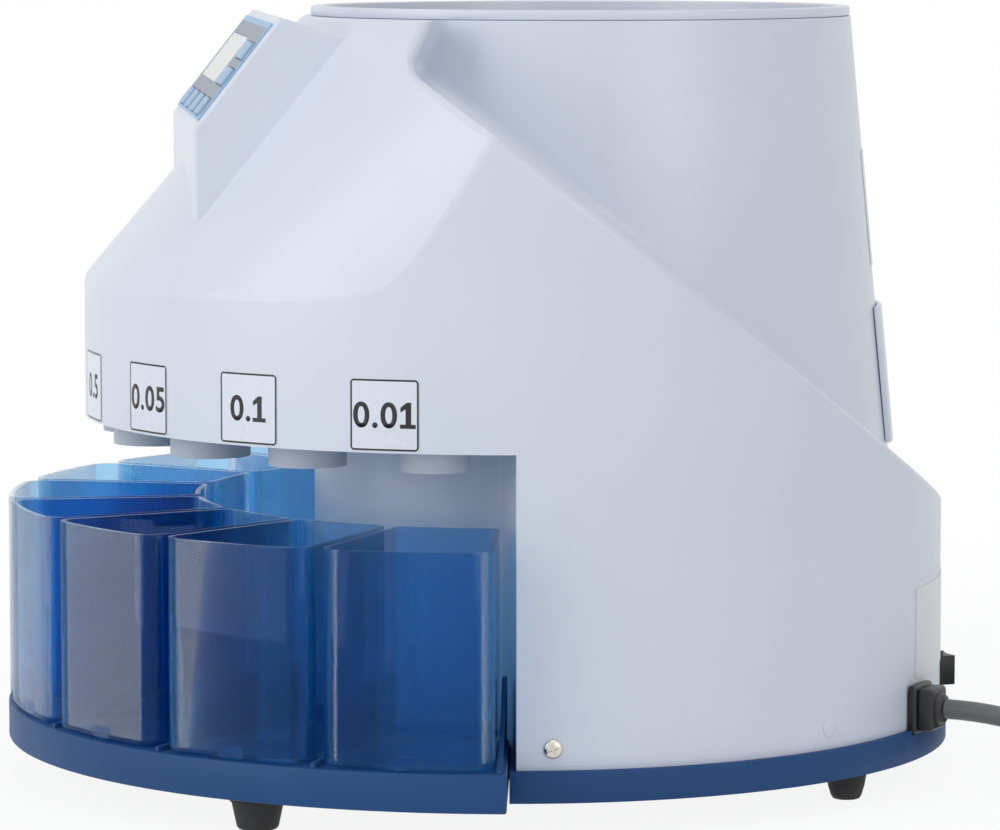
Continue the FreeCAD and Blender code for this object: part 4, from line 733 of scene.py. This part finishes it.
CORD_RADIUS = 3.4 * MM
CORD_ROUTE = [(81.87, 148.98, 28.4), (89.99, 162.77, 28.4), (99.69, 187.97, 20.9), (101.89, 224.37, 11.4),
              (90.59, 259.87, 5.9), (67.99, 282.47, 4.8), (39.79, 292.77, 4.4), (11.79, 292.77, 4.4)]
COIL_CENTRE = Vector((4.99, 245.27, 4.4))
COIL_TURNS = 5.5
COIL_STEPS = 18
COIL_RADIUS = 47.5
COIL_PITCH = 7.4
INNER_TURN = 2.5
CLIMB_TURNS = 0.5
CLIMB_PULL = 1.9
COIL_TAIL = [(12.99, 197.77, 11.8), (20.99, 197.77, 11.8)]


def coil_point(turns):
    """Point of the coil: turns wind inwards on the floor, climb, and wind out again on top."""
    climb = min(max((turns - INNER_TURN) / CLIMB_TURNS, 0), 1)
    radius = COIL_RADIUS - COIL_PITCH * min(turns, INNER_TURN) - CLIMB_PULL * math.sin(math.pi * climb)
    radius += COIL_PITCH * max(turns - INNER_TURN - CLIMB_TURNS, 0)
    radius /= math.cos(math.pi / COIL_STEPS)
    angle = math.radians(90 + 360 * turns)
    lift = COIL_PITCH * (1 - math.cos(math.pi * climb)) / 2
    return COIL_CENTRE + Vector((radius * math.cos(angle), radius * math.sin(angle), lift))


def make_cord():
    """Mains lead: out of the cover, down to the floor and into a tied coil behind the machine."""
    points = [Vector(point) for point in CORD_ROUTE]
    points += [coil_point(step / COIL_STEPS) for step in range(1, round(COIL_TURNS * COIL_STEPS) + 1)]
    points += [Vector(point) for point in COIL_TAIL]
    line = bpy.data.curves.new("mains_lead", "CURVE")
    line.dimensions = "3D"
    spline = line.splines.new("NURBS")
    spline.points.add(len(points) - 1)
    for knot, point in zip(spline.points, points):
        knot.co = (*(point * MM), 1)
    spline.order_u = 3
    spline.use_endpoint_u = True
    spline.resolution_u = 6
    line.bevel_depth = CORD_RADIUS
    line.bevel_resolution = 5
    line.use_fill_caps = True
    lead = add_object("mains_lead", line)
    finished(lead, "housing", "cord_rubber", "power_cord", "cord_coil")


FLOOR_SIDE = 12
# The floor's fade to white: the middle of the shadow, and how far from it the fade starts and ends
SHADOW_Y = 0.05
FADE_START = 0.26
FADE_END = 0.75


def make_floor():
    """Pale floor that keeps the shadow near the machine and fades to white further off."""
    bpy.ops.object.select_all(action="DESELECT")
    bpy.ops.mesh.primitive_plane_add(size=FLOOR_SIDE)
    floor = bpy.context.object
    floor.name = "studio_floor"
    finish = Finish("studio_floor_paint")
    x, y = finish.parts(finish.place())[:2]
    from_middle = y - SHADOW_Y
    away = (x * x + from_middle * from_middle).root().ramp(FADE_START, FADE_END)
    speck = finish.noise(finish.place(), 4 * MM)
    tone = finish.blend(speck, linear(243, 244, 246), linear(248, 249, 250))
    finish.surface(Base_Color=tone, Roughness=0.6)
    glow = finish.node("ShaderNodeEmission", {}, {"Color": (1, 1, 1, 1), "Strength": 1.0})
    paint_out = Value(finish, finish.shader.outputs[0])
    mix = finish.node("ShaderNodeMixShader", {}, [(0.9 + away * 0.1) * finish.seen(), paint_out, glow])
    finish.feed(finish.tree.nodes["Material Output"].inputs["Surface"], mix)
    paint(floor, finish.material)


def make_world():
    """Even pale light all round, which the camera and reflections see as white."""
    world = bpy.data.worlds.new("studio")
    SCENE.world = world
    world.use_nodes = True
    tree = world.node_tree
    tree.nodes.remove(tree.nodes["Background"])
    nodes = Nodes(tree)
    soft = nodes.node("ShaderNodeBackground", {}, {"Color": (0.94, 0.97, 1.0, 1), "Strength": 0.42})
    white = nodes.node("ShaderNodeBackground", {}, {"Color": (1, 1, 1, 1), "Strength": 1.0})
    mix = nodes.node("ShaderNodeMixShader", {}, [nodes.seen(), soft, white])
    nodes.feed(tree.nodes["World Output"].inputs["Surface"], mix)


def make_lamp(name, spot, aim, side, power):
    """Square soft box that faces a point."""
    lamp = add_object(name, bpy.data.lights.new(name, "AREA"))
    lamp.data.shape = "SQUARE"
    lamp.data.size = side
    lamp.data.energy = power
    face(lamp, spot, aim)


def make_lights():
    make_world()
    middle = (0, 0.02, 0.14)
    make_lamp("front_box", (0.85, -1.95, 0.8), middle, 2.0, 21)
    make_lamp("top_box", (0.2, 0.1, 2.0), middle, 1.4, 7)
    make_lamp("side_box", (1.9, 1.1, 0.9), middle, 1.2, 8)


SCENE.view_settings.view_transform = "Standard"
dress_frame()
make_bins()
soften_mouldings()
make_screws()
make_feet()
make_strain_relief()
make_keys()
make_labels()
make_cord()
make_floor()
make_lights()
make_camera()
